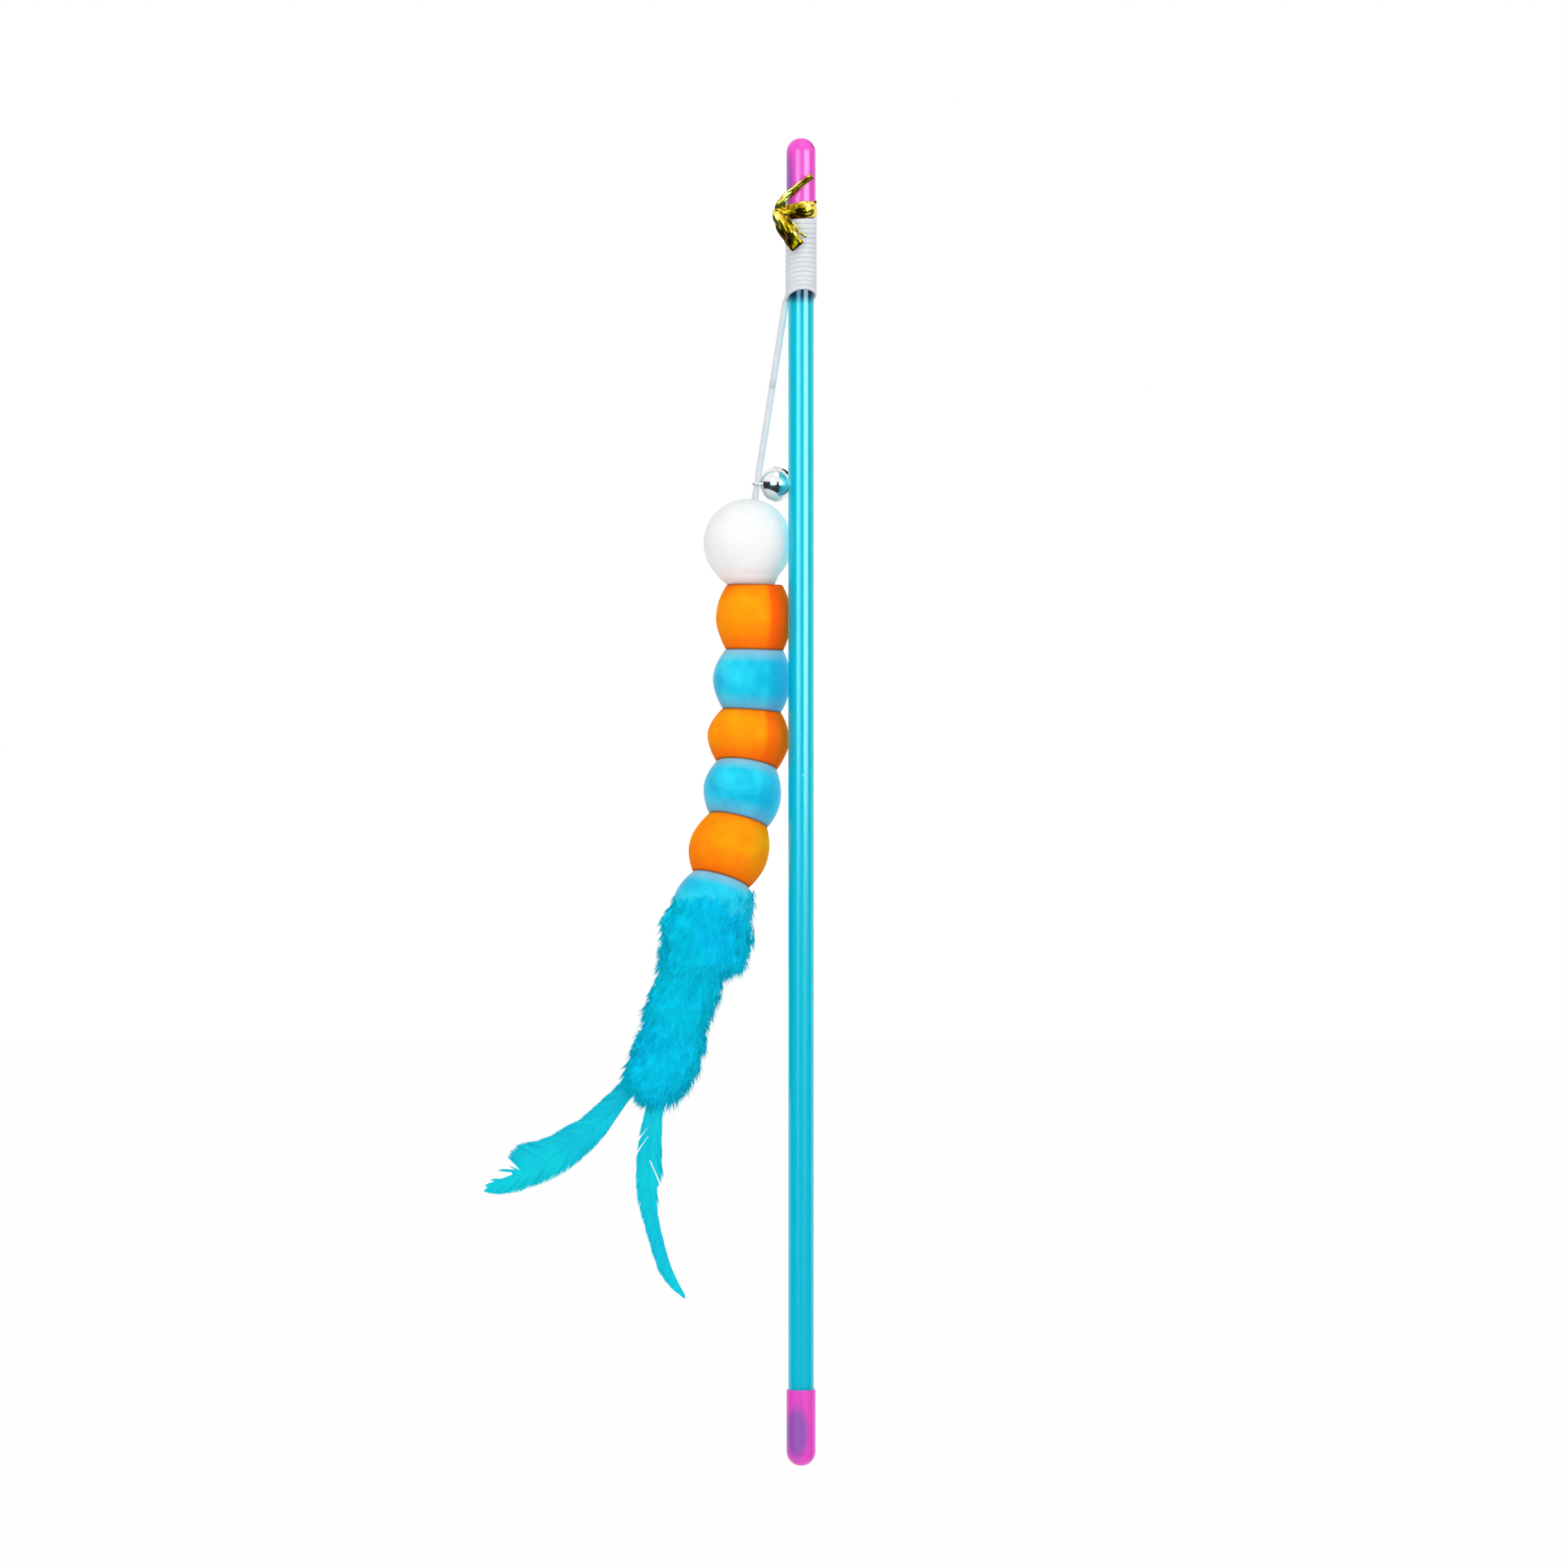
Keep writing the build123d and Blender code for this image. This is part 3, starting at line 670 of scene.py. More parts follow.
def loft_bead(name, index, belly, fuller, segments=72):
    """A bead between two squeeze planes, with its marks for the grooves and the tube."""
    top, bottom = toy(*chain[index]), toy(*chain[index + 1])
    top_normal, bottom_normal = plane_normal(index), plane_normal(index + 1)
    room = (chain[index][0] + chain[index + 1][0]) / 2 - belly - tube_radius
    near_tube = min(max(1 - room / tube_shadow_room, 0.0), 1.0)
    lump_start = Vector((index * lump_shift, 0, 0))
    verts, folds, tube_shadow_marks = [], [], []
    rings = bead_rings(index, belly)
    for radius, place, sink in rings:
        normal = top_normal.lerp(bottom_normal, place).normalized()
        centre = top.lerp(bottom, seam_share + (1 - 2 * seam_share) * place) - normal * sink * MM
        along = (toy_out - normal * toy_out.dot(normal)).normalized()
        aside = normal.cross(along)
        swell = math.sin(math.pi * place)
        for segment in range(segments):
            angle = 2 * math.pi * segment / segments
            direction = along * math.cos(angle) + aside * math.sin(angle)
            spot = (centre / MM + direction * radius) * lump_size + lump_start
            uneven = fuller * max(math.cos(angle), 0) + lump_height * noise.noise(spot)
            verts.append(centre + direction * (radius + swell * uneven) * MM)
            folds.append(place)
            # The tube's painted shadow is marked on the side of the bead that faces the tube.
            tube_shadow_marks.append(near_tube * ease((-math.cos(angle) - tube_shadow_start) / tube_shadow_span))
    faces = ring_faces(len(rings), segments)
    return mesh_from(name, verts, faces, {"fold": folds, "lean": tube_shadow_marks}, weld=True)


print("rings in the first bead:", len(bead_rings(0, belly=beads[0][3])))


# %% [markdown]
# ## Plush finish
# Short dense pile is matt, with a soft sheen at its edges and a fine nap. Near the
# grooves the colour is painted: the orange turns deeper and redder as painted shade, the
# blue turns paler towards its upper groove as painted light and darker towards its lower
# one as painted shade, and a dark seam is painted into each groove as painted shade. The
# side that leans on the tube is painted deeper, as the tube's painted shadow. Hair strands
# would be slow to render, so the marks on the mesh, a noise and a bump give the pile instead.

# %% Plush finish
def plush(name, body_tones, light_and_shade_stops, tube_shadow_colour, sheen, sheen_tint):
    """A pile finish; light_and_shade_stops hold the place between grooves, and the amount and the colour of
    painted light and shade there.
    """
    material, tree, shader = new_finish(
        name, Roughness=0.9, Sheen_Weight=sheen, Sheen_Roughness=0.4, Sheen_Tint=(*sheen_tint, 1),
        Specular_IOR_Level=0.08,
    )
    body = tones(tree, grain(tree, 160, detail=4), (0.35, body_tones[0]), (0.65, body_tones[1]))
    nap = grain(tree, 2600, detail=4)
    nap_tone = tones(tree, nap, (0.3, (0.92, 0.92, 0.92)), (0.7, (1, 1, 1)))
    fold = attribute(tree, "fold")
    # Painted light and shade by the place between grooves: deeper or paler colours and dark seams from the
    # stops.
    painted_amount = tones(tree, fold, *[(place, (amount,) * 3) for place, amount, colour in light_and_shade_stops])
    pressed = tones(tree, fold, *[(place, colour) for place, amount, colour in light_and_shade_stops])
    # Painted shadow of the tube: the side that leans on the tube is painted deeper.
    body = mixed(tree, attribute(tree, "lean"), body, (*tube_shadow_colour, 1))
    paint(tree, shader, mixed(tree, painted_amount, body, pressed), nap_tone)
    relief(tree, shader, nap, strength=0.35, depth=0.25 * MM)
    return material


print("plush is made for", len(beads), "beads and the head ball")

# %% Plush colours
# Painted shade for orange: deeper and redder near the grooves, darkest in the seams.
orange_groove_shade, orange_seam_shade = (0.98, 0.10, 0.0), (0.30, 0.05, 0.0)
orange_painted_stops = [
    (0.0, 0.85, orange_seam_shade), (0.03, 0.35, orange_groove_shade), (0.08, 0.2, orange_groove_shade),
    (0.25, 0.0, orange_groove_shade), (0.5, 0.0, orange_groove_shade), (0.8, 0.42, orange_groove_shade),
    (0.965, 0.7, orange_groove_shade), (1.0, 0.9, orange_seam_shade),
]
plush_orange = plush(
    "plush_orange", ((1.0, 0.26, 0.0), (1.0, 0.37, 0.0)), orange_painted_stops,
    tube_shadow_colour=(1.0, 0.10, 0.0), sheen=0.1, sheen_tint=(1.0, 0.3, 0.0),
)
# Painted light and shade for blue: paler near the upper groove, darker near the lower one, dark seams.
blue_upper_light, blue_shade, blue_seam_shade = (0.34, 0.52, 0.66), (0.16, 0.36, 0.58), (0.12, 0.12, 0.18)
blue_painted_stops = [
    (0.0, 0.85, blue_seam_shade), (0.03, 0.75, blue_upper_light), (0.1, 0.45, blue_upper_light),
    (0.22, 0.0, blue_upper_light), (0.74, 0.0, blue_shade), (0.88, 0.4, blue_shade),
    (0.965, 0.7, blue_shade), (1.0, 0.9, blue_seam_shade),
]
plush_blue = plush(
    "plush_blue", ((0.0, 0.46, 0.72), (0.02, 0.68, 0.90)), blue_painted_stops,
    tube_shadow_colour=(0.0, 0.42, 0.70), sheen=0.7, sheen_tint=(0.62, 0.74, 0.82),
)
plush_finishes = {"plush_orange": plush_orange, "plush_blue": plush_blue}
print("plush finishes:", ", ".join(plush_finishes))

# %% [markdown]
# ## Make the beads
# One loop makes all six. The first five stay where they are made; the last bead is half
# hidden in the fluff and moves with it.

# %% Make the beads
for index, (name, body, after, belly, fuller) in enumerate(beads):
    piece = add_object("plush_" + name, loft_bead("plush_" + name, index, belly, fuller))
    slot = "plush_orange" if "orange" in name else "plush_blue"
    piece.data.materials.append(plush_finishes[slot])
    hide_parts(name)
    if after:
        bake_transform(piece)
    else:
        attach(piece, body)
    print(name, "faces:", len(piece.data.polygons))

# %% [markdown]
# ## Head ball
# The white ball is a sphere that is pressed flat where it sits on the first bead, with a
# small dimple where the cord goes in. Rings of points on a sphere are easy to press: near
# the seat, each point is drawn towards the seat's rim, softly. Its plush is white, and is
# painted pink towards the seat as painted bounce light from the orange bead under it. A
# sculpted ball would look the same, but its seat could not be moved by changing a number.

# %% Press the ball
ball_radius, ball_out, ball_height = 10.4, 13.7, 205.579
seat_radius, seat_out, seat_height = 5.5, 12.9, 195.72
shift, drop = ball_out - seat_out, ball_height - seat_height
shoulder = 7.4
shoulder_reach = math.sqrt(ball_radius**2 - shoulder**2)
softness = 9
# Rings of the dished seat: share of the seat's radius, and how far up it is sunk
seat_dish = [(0.9, 0.12), (0.5, 0.5), (0.0, 0.7)]


def seat_reach(turn):
    """How far the seat's rim is from the ball's upright axis, at a turn round it."""
    return math.sqrt(seat_radius**2 - (shift * math.sin(turn)) ** 2) - shift * math.cos(turn)


def pressed_reach(across, up, turn):
    """How far the pressed ball reaches, where the free ball would reach across."""
    near = min(max((-up - shoulder) / (drop - shoulder), 0.0), 1.0)
    if near == 0:
        return across
    sagging = shoulder_reach + (seat_reach(turn) - shoulder_reach) * near
    rounded = (across**softness + sagging**softness) ** (1 / softness)
    return rounded - (2 ** (1 / softness) - 1) * shoulder_reach * (1 - near) ** 2


print("the ball's seat is", round(drop, 2), "mm under its middle")

# %% Head ball
dimple_depth, dimple_reach = 0.55, 0.9
# How far up from the seat the painted bounce light reaches, and how fast it fades.
bounce_height, bounce_fade = 4.0, 1.5


def head_ball_mesh(segments=96, rows=60):
    """The pressed ball, with its dimple and the mark for the painted bounce light near its seat."""
    full_turn = math.acos(-drop / ball_radius)
    angles = [full_turn * row / rows for row in range(rows + 1)]
    rings = [(ball_radius * math.sin(a), ball_radius * math.cos(a), None) for a in angles]
    rings += [(0.0, sink - drop, share) for share, sink in seat_dish]
    verts, folds = [], []
    for across, up, share in rings:
        for segment in range(segments):
            turn = 2 * math.pi * segment / segments
            reach = pressed_reach(across, up, turn) if share is None else share * seat_reach(turn)
            place = toy(ball_out + reach * math.cos(turn), ball_height + up, reach * math.sin(turn))
            if up > 0:
                aside = (place - head_entry).xy.length / MM
                place.z -= dimple_depth * MM * math.exp(-((aside / dimple_reach) ** 2))
            verts.append(place)
            folds.append(max(0.0, 1 - (up + drop) / bounce_height) ** bounce_fade)
    faces = ring_faces(len(rings), segments)
    return mesh_from("plush_head_ball", verts, faces, {"fold": folds}, weld=True)


# Painted bounce light: the white is painted pink towards the seat, as light from the orange bead.
painted_bounce_light = (0.88, 0.60, 0.55)
ball_painted_stops = [(0.0, 0.0, painted_bounce_light), (1.0, 0.5, painted_bounce_light)]
plush_white = plush(
    "plush_white", ((0.84, 0.84, 0.85), (0.88, 0.88, 0.88)), ball_painted_stops,
    tube_shadow_colour=(0.8, 0.8, 0.88), sheen=0.12, sheen_tint=(0.88, 0.88, 0.88),
)
ball = add_object("plush_head_ball", head_ball_mesh())
ball.data.materials.append(plush_white)
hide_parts("head_ball")
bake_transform(ball)
print("head ball faces:", len(ball.data.polygons))

# %% [markdown]
# ## Bell
# The bell is pressed from thin sheet and plated bright. A plated finish is a metal with a
# very low roughness, so nearly all its look is what it mirrors. Fine scratches break up
# the roughness a little. The CAD halves, eye and pea stay as they are.

# %% Bell finish
bell_plating, tree, shader = new_finish("bell_plating", Metallic=1.0)
plating = tones(tree, grain(tree, 250), (0.3, (0.70, 0.72, 0.73)), (0.7, (0.88, 0.89, 0.90)))
paint(tree, shader, plating)
scratches = grain(tree, 900, stretch=(1, 1, 0.06), detail=4)
vary_gloss(tree, shader, scratches, least=0.08, most=0.2)
dress(bell_plating, "bell_back_shell", "bell_front_shell", "bell_eye")

pea_steel, tree, shader = new_finish("pea_steel", Metallic=1.0, Roughness=0.3)
steel = tones(tree, grain(tree, 1200), (0.3, (0.35, 0.35, 0.36)), (0.7, (0.55, 0.55, 0.56)))
paint(tree, shader, steel)
dress(pea_steel, "bell_pea")

# %% [markdown]
# ## Cord pieces inside the beads
# The same cord goes on through the beads to a knot in the fluff. Those stretches are
# hidden, but they show when a bead is lifted off, so they get the cord's look on plain
# object coordinates, because a CAD piece has no UV map.

# %% Hidden cord finish
core_elastic, tree, shader = new_finish("core_elastic", Roughness=0.8, Sheen_Weight=0.2)
fibres = grain(tree, 2400, stretch=(1, 1, 0.25))
paint(tree, shader, tones(tree, fibres, (0.3, (0.6, 0.62, 0.65)), (0.7, (0.8, 0.81, 0.83))))
relief(tree, shader, fibres, strength=0.4, depth=0.1 * MM)
hidden_cords = [name for name in nodes if name.startswith("core_cord") or name.endswith("_knot")]
dress(core_elastic, *hidden_cords)

# %% [markdown]
# ## Fluff
# The tail is a plume of downy barbs. A lofted core gives its body, and Geometry Nodes
# scatters small locks over the core. A hair system would give finer strands, but it is no
# mesh, and the finished model has to be one. Noise that runs down with the plume draws
# the core into clumps.

# %% Fluff core
# Height, middle of the plume's width and half of it, from the tip up to the collar
fluff_rows = [
    (73.4, 37.4, 2.4), (75.2, 37.6, 5.3), (78.2, 37.5, 7.9), (81.6, 36.0, 8.6), (85.2, 34.8, 7.9),
    (89.0, 33.8, 7.7), (92.6, 32.6, 7.4), (96.4, 31.2, 8.2), (100.0, 29.9, 8.0), (103.0, 28.5, 7.6),
    (104.4, 27.9, 7.7), (105.5, 27.0, 8.7), (106.4, 25.6, 10.2), (108.3, 25.2, 10.2),
    (112.1, 24.5, 10.2), (115.9, 24.6, 10.5), (119.6, 23.2, 10.0), (121.5, 22.6, 9.6),
    (123.4, 22.0, 8.7), (125.0, 21.4, 6.5),
]
# Clumps: how fine, how high and where their noise starts
clumps = [(0.26, 1.0, (0, 0, 0)), (0.7, 1.1, (7, 3, 1))]
clump_stretch, lock_cover, collar_run = 0.55, 0.35, 6


def between(table, place):
    """A table's values at a place, on a straight line between its nearest rows."""
    place = min(max(place, table[0][0]), table[-1][0])
    for (a, *low), (b, *high) in zip(table, table[1:]):
        if place <= b:
            share = (place - a) / (b - a)
            return [x + (y - x) * share for x, y in zip(low, high)]


def fluff_core_mesh(segments=84, rows=90):
    """The closed body under the locks."""
    verts = []
    bottom, top = fluff_rows[0][0], fluff_rows[-1][0]
    for row in range(rows + 1):
        height = top + (bottom - top) * row / rows
        out, half = between(fluff_rows, height)
        wild = min(1.0, (top - height) / collar_run)
        for segment in range(segments):
            angle = 2 * math.pi * segment / segments
            spot = Vector((math.cos(angle) * half, math.sin(angle) * half, height * clump_stretch))
            clump = sum(high * noise.noise(spot * fine + Vector(start)) for fine, high, start in clumps)
            reach = half - lock_cover + clump * wild
            verts.append(toy(out + reach * math.cos(angle), height, reach * math.sin(angle)))
    faces = ring_faces(rows + 1, segments) + end_faces(rows + 1, segments)
    return mesh_from("fluff_body", verts, faces)


core_body = add_object("fluff_body", fluff_core_mesh())
print("fluff core faces:", len(core_body.data.polygons))


# %% [markdown]
# ## One lock
# A lock is a fan of nine strands. It is copied thousands of times, so a strand is only
# three-sided, with two rings and a tip. Its bend is drawn with seeded dice, which give
# the same lock each time.

# %% One lock of strands
strands, strand_half, strand_taper = 9, 0.11, 0.6
fan_spread, fan_lean, fan_bend = 0.9, 0.2, 0.6
shortest_strand, longest_strand = 1.7, 3.4
lock_seed = 4


def strand(verts, faces, start, way, bend, length, half):
    """A tapering three-sided strand, bent sideways along its length."""
    base, steps, corners = len(verts), 2, 3
    across = way.orthogonal().normalized()
    aside = way.cross(across)
    for step in range(steps):
        share = step / steps
        middle = start + way * length * share + bend * share * share
        size = half * (1 - strand_taper * share)
        for corner in range(corners):
            angle = 2 * math.pi * corner / corners
            verts.append(middle + (across * math.cos(angle) + aside * math.sin(angle)) * size)
    verts.append(start + way * length + bend)
    faces += ring_faces(steps, corners, base)
    tip = base + steps * corners
    for corner in range(corners):
        faces.append((tip - corners + corner, tip - corners + (corner + 1) % corners, tip))
    faces.append((base, base + 2, base + 1))


def lock_mesh():
    """A fan of strands along Z."""
    dice = random.Random(lock_seed)
    verts, faces = [], []
    for index in range(strands):
        spread = Vector((dice.uniform(-1, 1), dice.uniform(-1, 1), 0))
        way = (upward + spread * fan_lean).normalized()
        bend = Vector((dice.uniform(-1, 1), dice.uniform(-1, 1), 0)) * fan_bend * MM
        length = dice.uniform(shortest_strand, longest_strand) * MM
        strand(verts, faces, spread * fan_spread * MM, way, bend, length, strand_half * MM)
    return mesh_from("lock", verts, faces)


lock = add_object("lock", lock_mesh())
print("faces in a lock:", len(lock.data.polygons))

# %% [markdown]
# ## Fluff finish
# Down is matt and lets light through, so the finish has a strong sheen in its own blue
# and light that wanders a millimetre under the surface. Each lock carries a random tint,
# stored when it is planted, which breaks up the dye.

# %% Fluff finish
fluff_blue, tree, shader = new_finish(
    "fluff_blue", Roughness=0.9, Sheen_Weight=0.8, Sheen_Roughness=0.5,
    Sheen_Tint=(0.0, 0.75, 0.9, 1), Specular_IOR_Level=0.05,
    Subsurface_Weight=0.5, Subsurface_Scale=1 * MM,
)
dye = tones(tree, grain(tree, 90), (0.3, (0.0, 0.53, 0.85)), (0.7, (0.0, 0.64, 0.87)))
lock_tone = tones(tree, attribute(tree, "tint"), (0.0, (0.95, 0.95, 0.97)), (1.0, (1, 1, 1)))
paint(tree, shader, dye, lock_tone)
relief(tree, shader, grain(tree, 1800, stretch=(1, 1, 0.3)), strength=0.3, depth=0.2 * MM)
print("fluff finish:", len(tree.nodes), "nodes")


# %% [markdown]
# ## Geometry trees: a small kit
# Fluff and feathers are both many copies of one small shape on points. So both trees need
# the same parts: named inputs, copies that are planted and tinted, and a finish at the
# end. The tree's result is then read back as a plain mesh, which the export needs.

# %% Geometry tree kit
def geometry_tree(name, inputs):
    """An empty tree with named inputs: the tree, its input sockets, its end and their identifiers."""
    tree = bpy.data.node_groups.new(name, "GeometryNodeTree")
    interface = tree.interface
    interface.new_socket("Geometry", in_out="INPUT", socket_type="NodeSocketGeometry")
    identifiers = {}
    for label, kind in inputs.items():
        socket = interface.new_socket(label, in_out="INPUT", socket_type="NodeSocket" + kind)
        identifiers[label] = socket.identifier
    interface.new_socket("Geometry", in_out="OUTPUT", socket_type="NodeSocketGeometry")
    given, result = tree.nodes.new("NodeGroupInput"), tree.nodes.new("NodeGroupOutput")
    return tree, given.outputs, result, identifiers


def planted(tree, shape, points, rotation, scale, seed):
    """Real copies of an object on points, each with its own random tint."""
    copies = add(tree, "GeometryNodeInstanceOnPoints", {
        "Points": points, "Rotation": rotation, "Scale": scale,
        "Instance": add(tree, "GeometryNodeObjectInfo", {"Object": shape}).outputs["Geometry"],
    }).outputs["Instances"]
    tint = add(tree, "FunctionNodeRandomValue", {"Seed": seed}, data_type="FLOAT").outputs[1]
    parts = {"Geometry": copies, "Name": "tint", "Value": tint}
    tinted = add(
        tree, "GeometryNodeStoreNamedAttribute", parts, data_type="FLOAT", domain="INSTANCE"
    ).outputs["Geometry"]
    return add(tree, "GeometryNodeRealizeInstances", {"Geometry": tinted}).outputs["Geometry"]


def finished(tree, geometry, finish, result):
    """The end of a tree: the finish is set and the geometry handed over."""
    parts = {"Geometry": geometry, "Material": finish}
    ended = add(tree, "GeometryNodeSetMaterial", parts).outputs["Geometry"]
    tree.links.new(ended, result.inputs["Geometry"])
    print(tree.name, "has", len(tree.nodes), "nodes")


def grown(name, base, tree, identifiers, values):
    """The plain mesh that a tree makes of a base object."""
    modifier = base.modifiers.new(name, "NODES")
    modifier.node_group = tree
    for label, value in values.items():
        modifier[identifiers[label]] = value
    graph = bpy.context.evaluated_depsgraph_get()
    mesh = bpy.data.meshes.new_from_object(base.evaluated_get(graph))
    mesh.name = name
    base.modifiers.remove(modifier)
    return mesh


print("geometry trees so far:", len(bpy.data.node_groups))


# %% [markdown]
# ## Scatter tree
# Points are scattered on the core by a density and a seed. A lock stands up a little from
# the core, falls down along the plume and is ruffled by a random vector. The three are
# added up, and the lock's Z axis is aimed along the sum.

# %% Scatter tree
def scaled(tree, vector, factor):
    """A vector times a number."""
    parts = {0: vector, "Scale": factor}
    return add(tree, "ShaderNodeVectorMath", parts, operation="SCALE").outputs[0]


def vector_sum(tree, first, second):
    """Two vectors added up."""
    return add(tree, "ShaderNodeVectorMath", {0: first, 1: second}, operation="ADD").outputs[0]


scatter, given, result, scatter_ids = geometry_tree("scatter_locks", {
    "Lock": "Object", "Density": "Float", "Fall": "Vector", "Stand": "Float", "Ruffle": "Float",
    "Least Size": "Float", "Greatest Size": "Float", "Seed": "Int", "Finish": "Material",
})
spots = add(scatter, "GeometryNodeDistributePointsOnFaces", {
    "Mesh": given["Geometry"], "Density": given["Density"], "Seed": given["Seed"],
}).outputs
cube = {0: (-1, -1, -1), 1: (1, 1, 1), "Seed": given["Seed"]}
jitter = add(scatter, "FunctionNodeRandomValue", cube, data_type="FLOAT_VECTOR").outputs["Value"]
lean = vector_sum(scatter, scaled(scatter, spots["Normal"], given["Stand"]), given["Fall"])
heading = vector_sum(scatter, lean, scaled(scatter, jitter, given["Ruffle"]))
aim = add(scatter, "FunctionNodeAlignRotationToVector", {"Vector": heading}, axis="Z")
sizes = {2: given["Least Size"], 3: given["Greatest Size"]}
size = add(scatter, "FunctionNodeRandomValue", sizes, data_type="FLOAT").outputs[1]
tint_seed = 11
locks = planted(scatter, given["Lock"], spots["Points"], aim.outputs["Rotation"], size, tint_seed)
finished(scatter, locks, given["Finish"], result)

# %% [markdown]
# ## Grow the fluff
# Light does not stop at a fibre of down, it wanders through many of them. So the strands
# are shaded mostly by the normal of the plume's body, which keeps the fluff soft and
# bright. Custom normals on the finished mesh do this for every corner of every face. For
# the same reason the locks cast no shadow: the core under them casts one for all.

# %% Grow the fluff
soft_share = 0.8


def shade_softly(mesh, body_normal):
    """Turns the shading normal of every corner towards that of the body it belongs to."""
    normals = []
    for face in mesh.polygons:
        for index in face.vertices:
            own = mesh.vertices[index]
            normals.append(own.normal.lerp(body_normal(own.co, face.normal), soft_share).normalized())
    mesh.normals_split_custom_set(normals)


def plume_normal(place, facing):
    """Away from the plume's own middle line, whichever way the strand is facing."""
    height = place.z / MM
    return (place - toy(between(fluff_rows, height)[0], height)).normalized()


core_body.data.materials.append(fluff_blue)
plume_mesh = grown("fluff_plume", core_body, scatter, scatter_ids, {
    "Lock": lock, "Density": 560000.0, "Fall": (-0.28, 0.13, -0.95), "Stand": 0.2, "Ruffle": 0.16,
    "Least Size": 0.6, "Greatest Size": 1.1, "Seed": 7, "Finish": fluff_blue,
})
shade_softly(plume_mesh, plume_normal)
plume = add_object("fluff_plume", plume_mesh)
plume.visible_shadow = False
bpy.data.objects.remove(lock)
for piece in (core_body, plume):
    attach(piece, "tail")
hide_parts("tail_tuft")
print("fluff faces:", len(plume.data.polygons))

# %% [markdown]
# ## Feathers
# A feather is a quill with a row of barbs on each side. Each barb leaves the quill at a
# slant and ends on the feather's outline, so the outline is a table of half widths and
# the length of each barb is solved from it. A flat card with a picture would be quicker,
# but its edge would never fray. Missing barbs make the slits of a worn feather.

# %% Feather tables
# Root (out, height), heading and turn of the quill, length and width in millimetres and degrees.
# Outline: place along the quill, half width above and below as shares of the width. Slants are
# the barbs' angles along the quill, above (1) and below (-1). Gaps leave out the barbs whose tips
# would be there. Strays are loose barbs: side, place, slant and length.
plain_slants = [(0.0, 33), (1.0, 20)]
feathers = {
    "left_feather": {
        "body": "feather_left", "seed": 12,
        "root": (43.827, 76.574), "heading": -46.0, "turn": 28.0, "length": 46.4, "width": 10.6,
        "outline": [
            (-0.2, 0.3, 0.1), (0.0, 0.36, 0.1), (0.1, 0.38, 0.14), (0.22, 0.385, 0.26),
            (0.33, 0.375, 0.36), (0.42, 0.455, 0.4), (0.52, 0.46, 0.43), (0.61, 0.54, 0.43),
            (0.68, 0.64, 0.4), (0.72, 0.66, 0.38), (0.78, 0.58, 0.35), (0.826, 0.46, 0.34),
            (0.832, 0.06, 0.335), (0.93, 0.07, 0.25), (0.98, 0.07, 0.17), (1.01, 0.05, 0.1),
            (1.04, 0.02, 0.02),
        ],
        "slants": {
            1: [(0.0, 34), (0.3, 38), (0.5, 48), (0.68, 62), (0.775, 70), (0.78, 28), (1.0, 20)],
            -1: plain_slants,
        },
        "gaps": {1: [], -1: []},
        "strays": [
            (1, 0.766, 31, 6.3), (1, 0.771, 30, 6.5), (1, 0.776, 29, 6.2),
            (1, 0.882, 25, 3.5), (1, 0.888, 24, 3.7), (1, 0.894, 23, 3.4),
        ],
    },
    "right_feather": {
        "body": "feather_right", "seed": 13,
        "root": (38.301, 70.761), "heading": -77.0, "turn": -48.0, "length": 45.3, "width": 7.0,
        "outline": [
            (-0.2, 0.25, 0.3), (0.0, 0.34, 0.4), (0.12, 0.39, 0.53), (0.2, 0.43, 0.6),
            (0.3, 0.45, 0.66), (0.34, 0.46, 0.54), (0.37, 0.47, 0.38), (0.43, 0.475, 0.26),
            (0.5, 0.44, 0.21), (0.58, 0.38, 0.18), (0.69, 0.38, 0.14), (0.82, 0.4, 0.05),
            (0.91, 0.28, 0.03), (1.0, 0.05, 0.02),
        ],
        "slants": {1: plain_slants, -1: plain_slants},
        "gaps": {1: [(0.13, 0.15), (0.2, 0.222)], -1: [(0.35, 0.362)]},
        "strays": [(-1, 0.262, 17.5, 9.6), (-1, 0.27, 17.0, 9.2), (-1, 0.278, 16.5, 8.4)],
    },
}
print("feathers:", {name: feather["length"] for name, feather in feathers.items()}, "mm long")

# %% [markdown]
# ## Quill and outline
# A quill is an arc, so a place on it needs only its heading at the root and its turn. To
# find where a slanting barb meets the outline, the barb is simply lengthened in small
# steps until it does. A formula would need a simpler outline than a real feather has.

# %% Quill and outline
shortest_barb, longest_barb, barb_step = 0.3, 14, 0.05
feather_end = 1.04


def quill_place(feather, share):
    """A place on a quill in metres, the direction there and the direction above it."""
    start = math.radians(feather["heading"])
    angle = start + math.radians(feather["turn"]) * share
    bend = feather["length"] / math.radians(feather["turn"])
    out = feather["root"][0] + bend * (math.sin(angle) - math.sin(start))
    height = feather["root"][1] + bend * (math.cos(start) - math.cos(angle))
    way = toy_out * math.cos(angle) + upward * math.sin(angle)
    above = upward * math.cos(angle) - toy_out * math.sin(angle)
    return toy(out, height), way, above


def half_width(feather, share, side):
    """The outline's half width on one side in millimetres, with none past its end."""
    outline = feather["outline"]
    if share > outline[-1][0]:
        return 0.0
    above, below = between(outline, share)
    return (above if side > 0 else below) * feather["width"]


def barb_reach(feather, share, side, slant):
    """The length at which a slanting barb meets the outline, and where along the quill."""
    reach = shortest_barb
    while reach < longest_barb:
        tip = share + reach * math.cos(slant) / feather["length"]
        if tip >= feather_end or reach * math.sin(slant) >= half_width(feather, tip, side):
            return reach, tip
        reach += barb_step
    return reach, feather_end


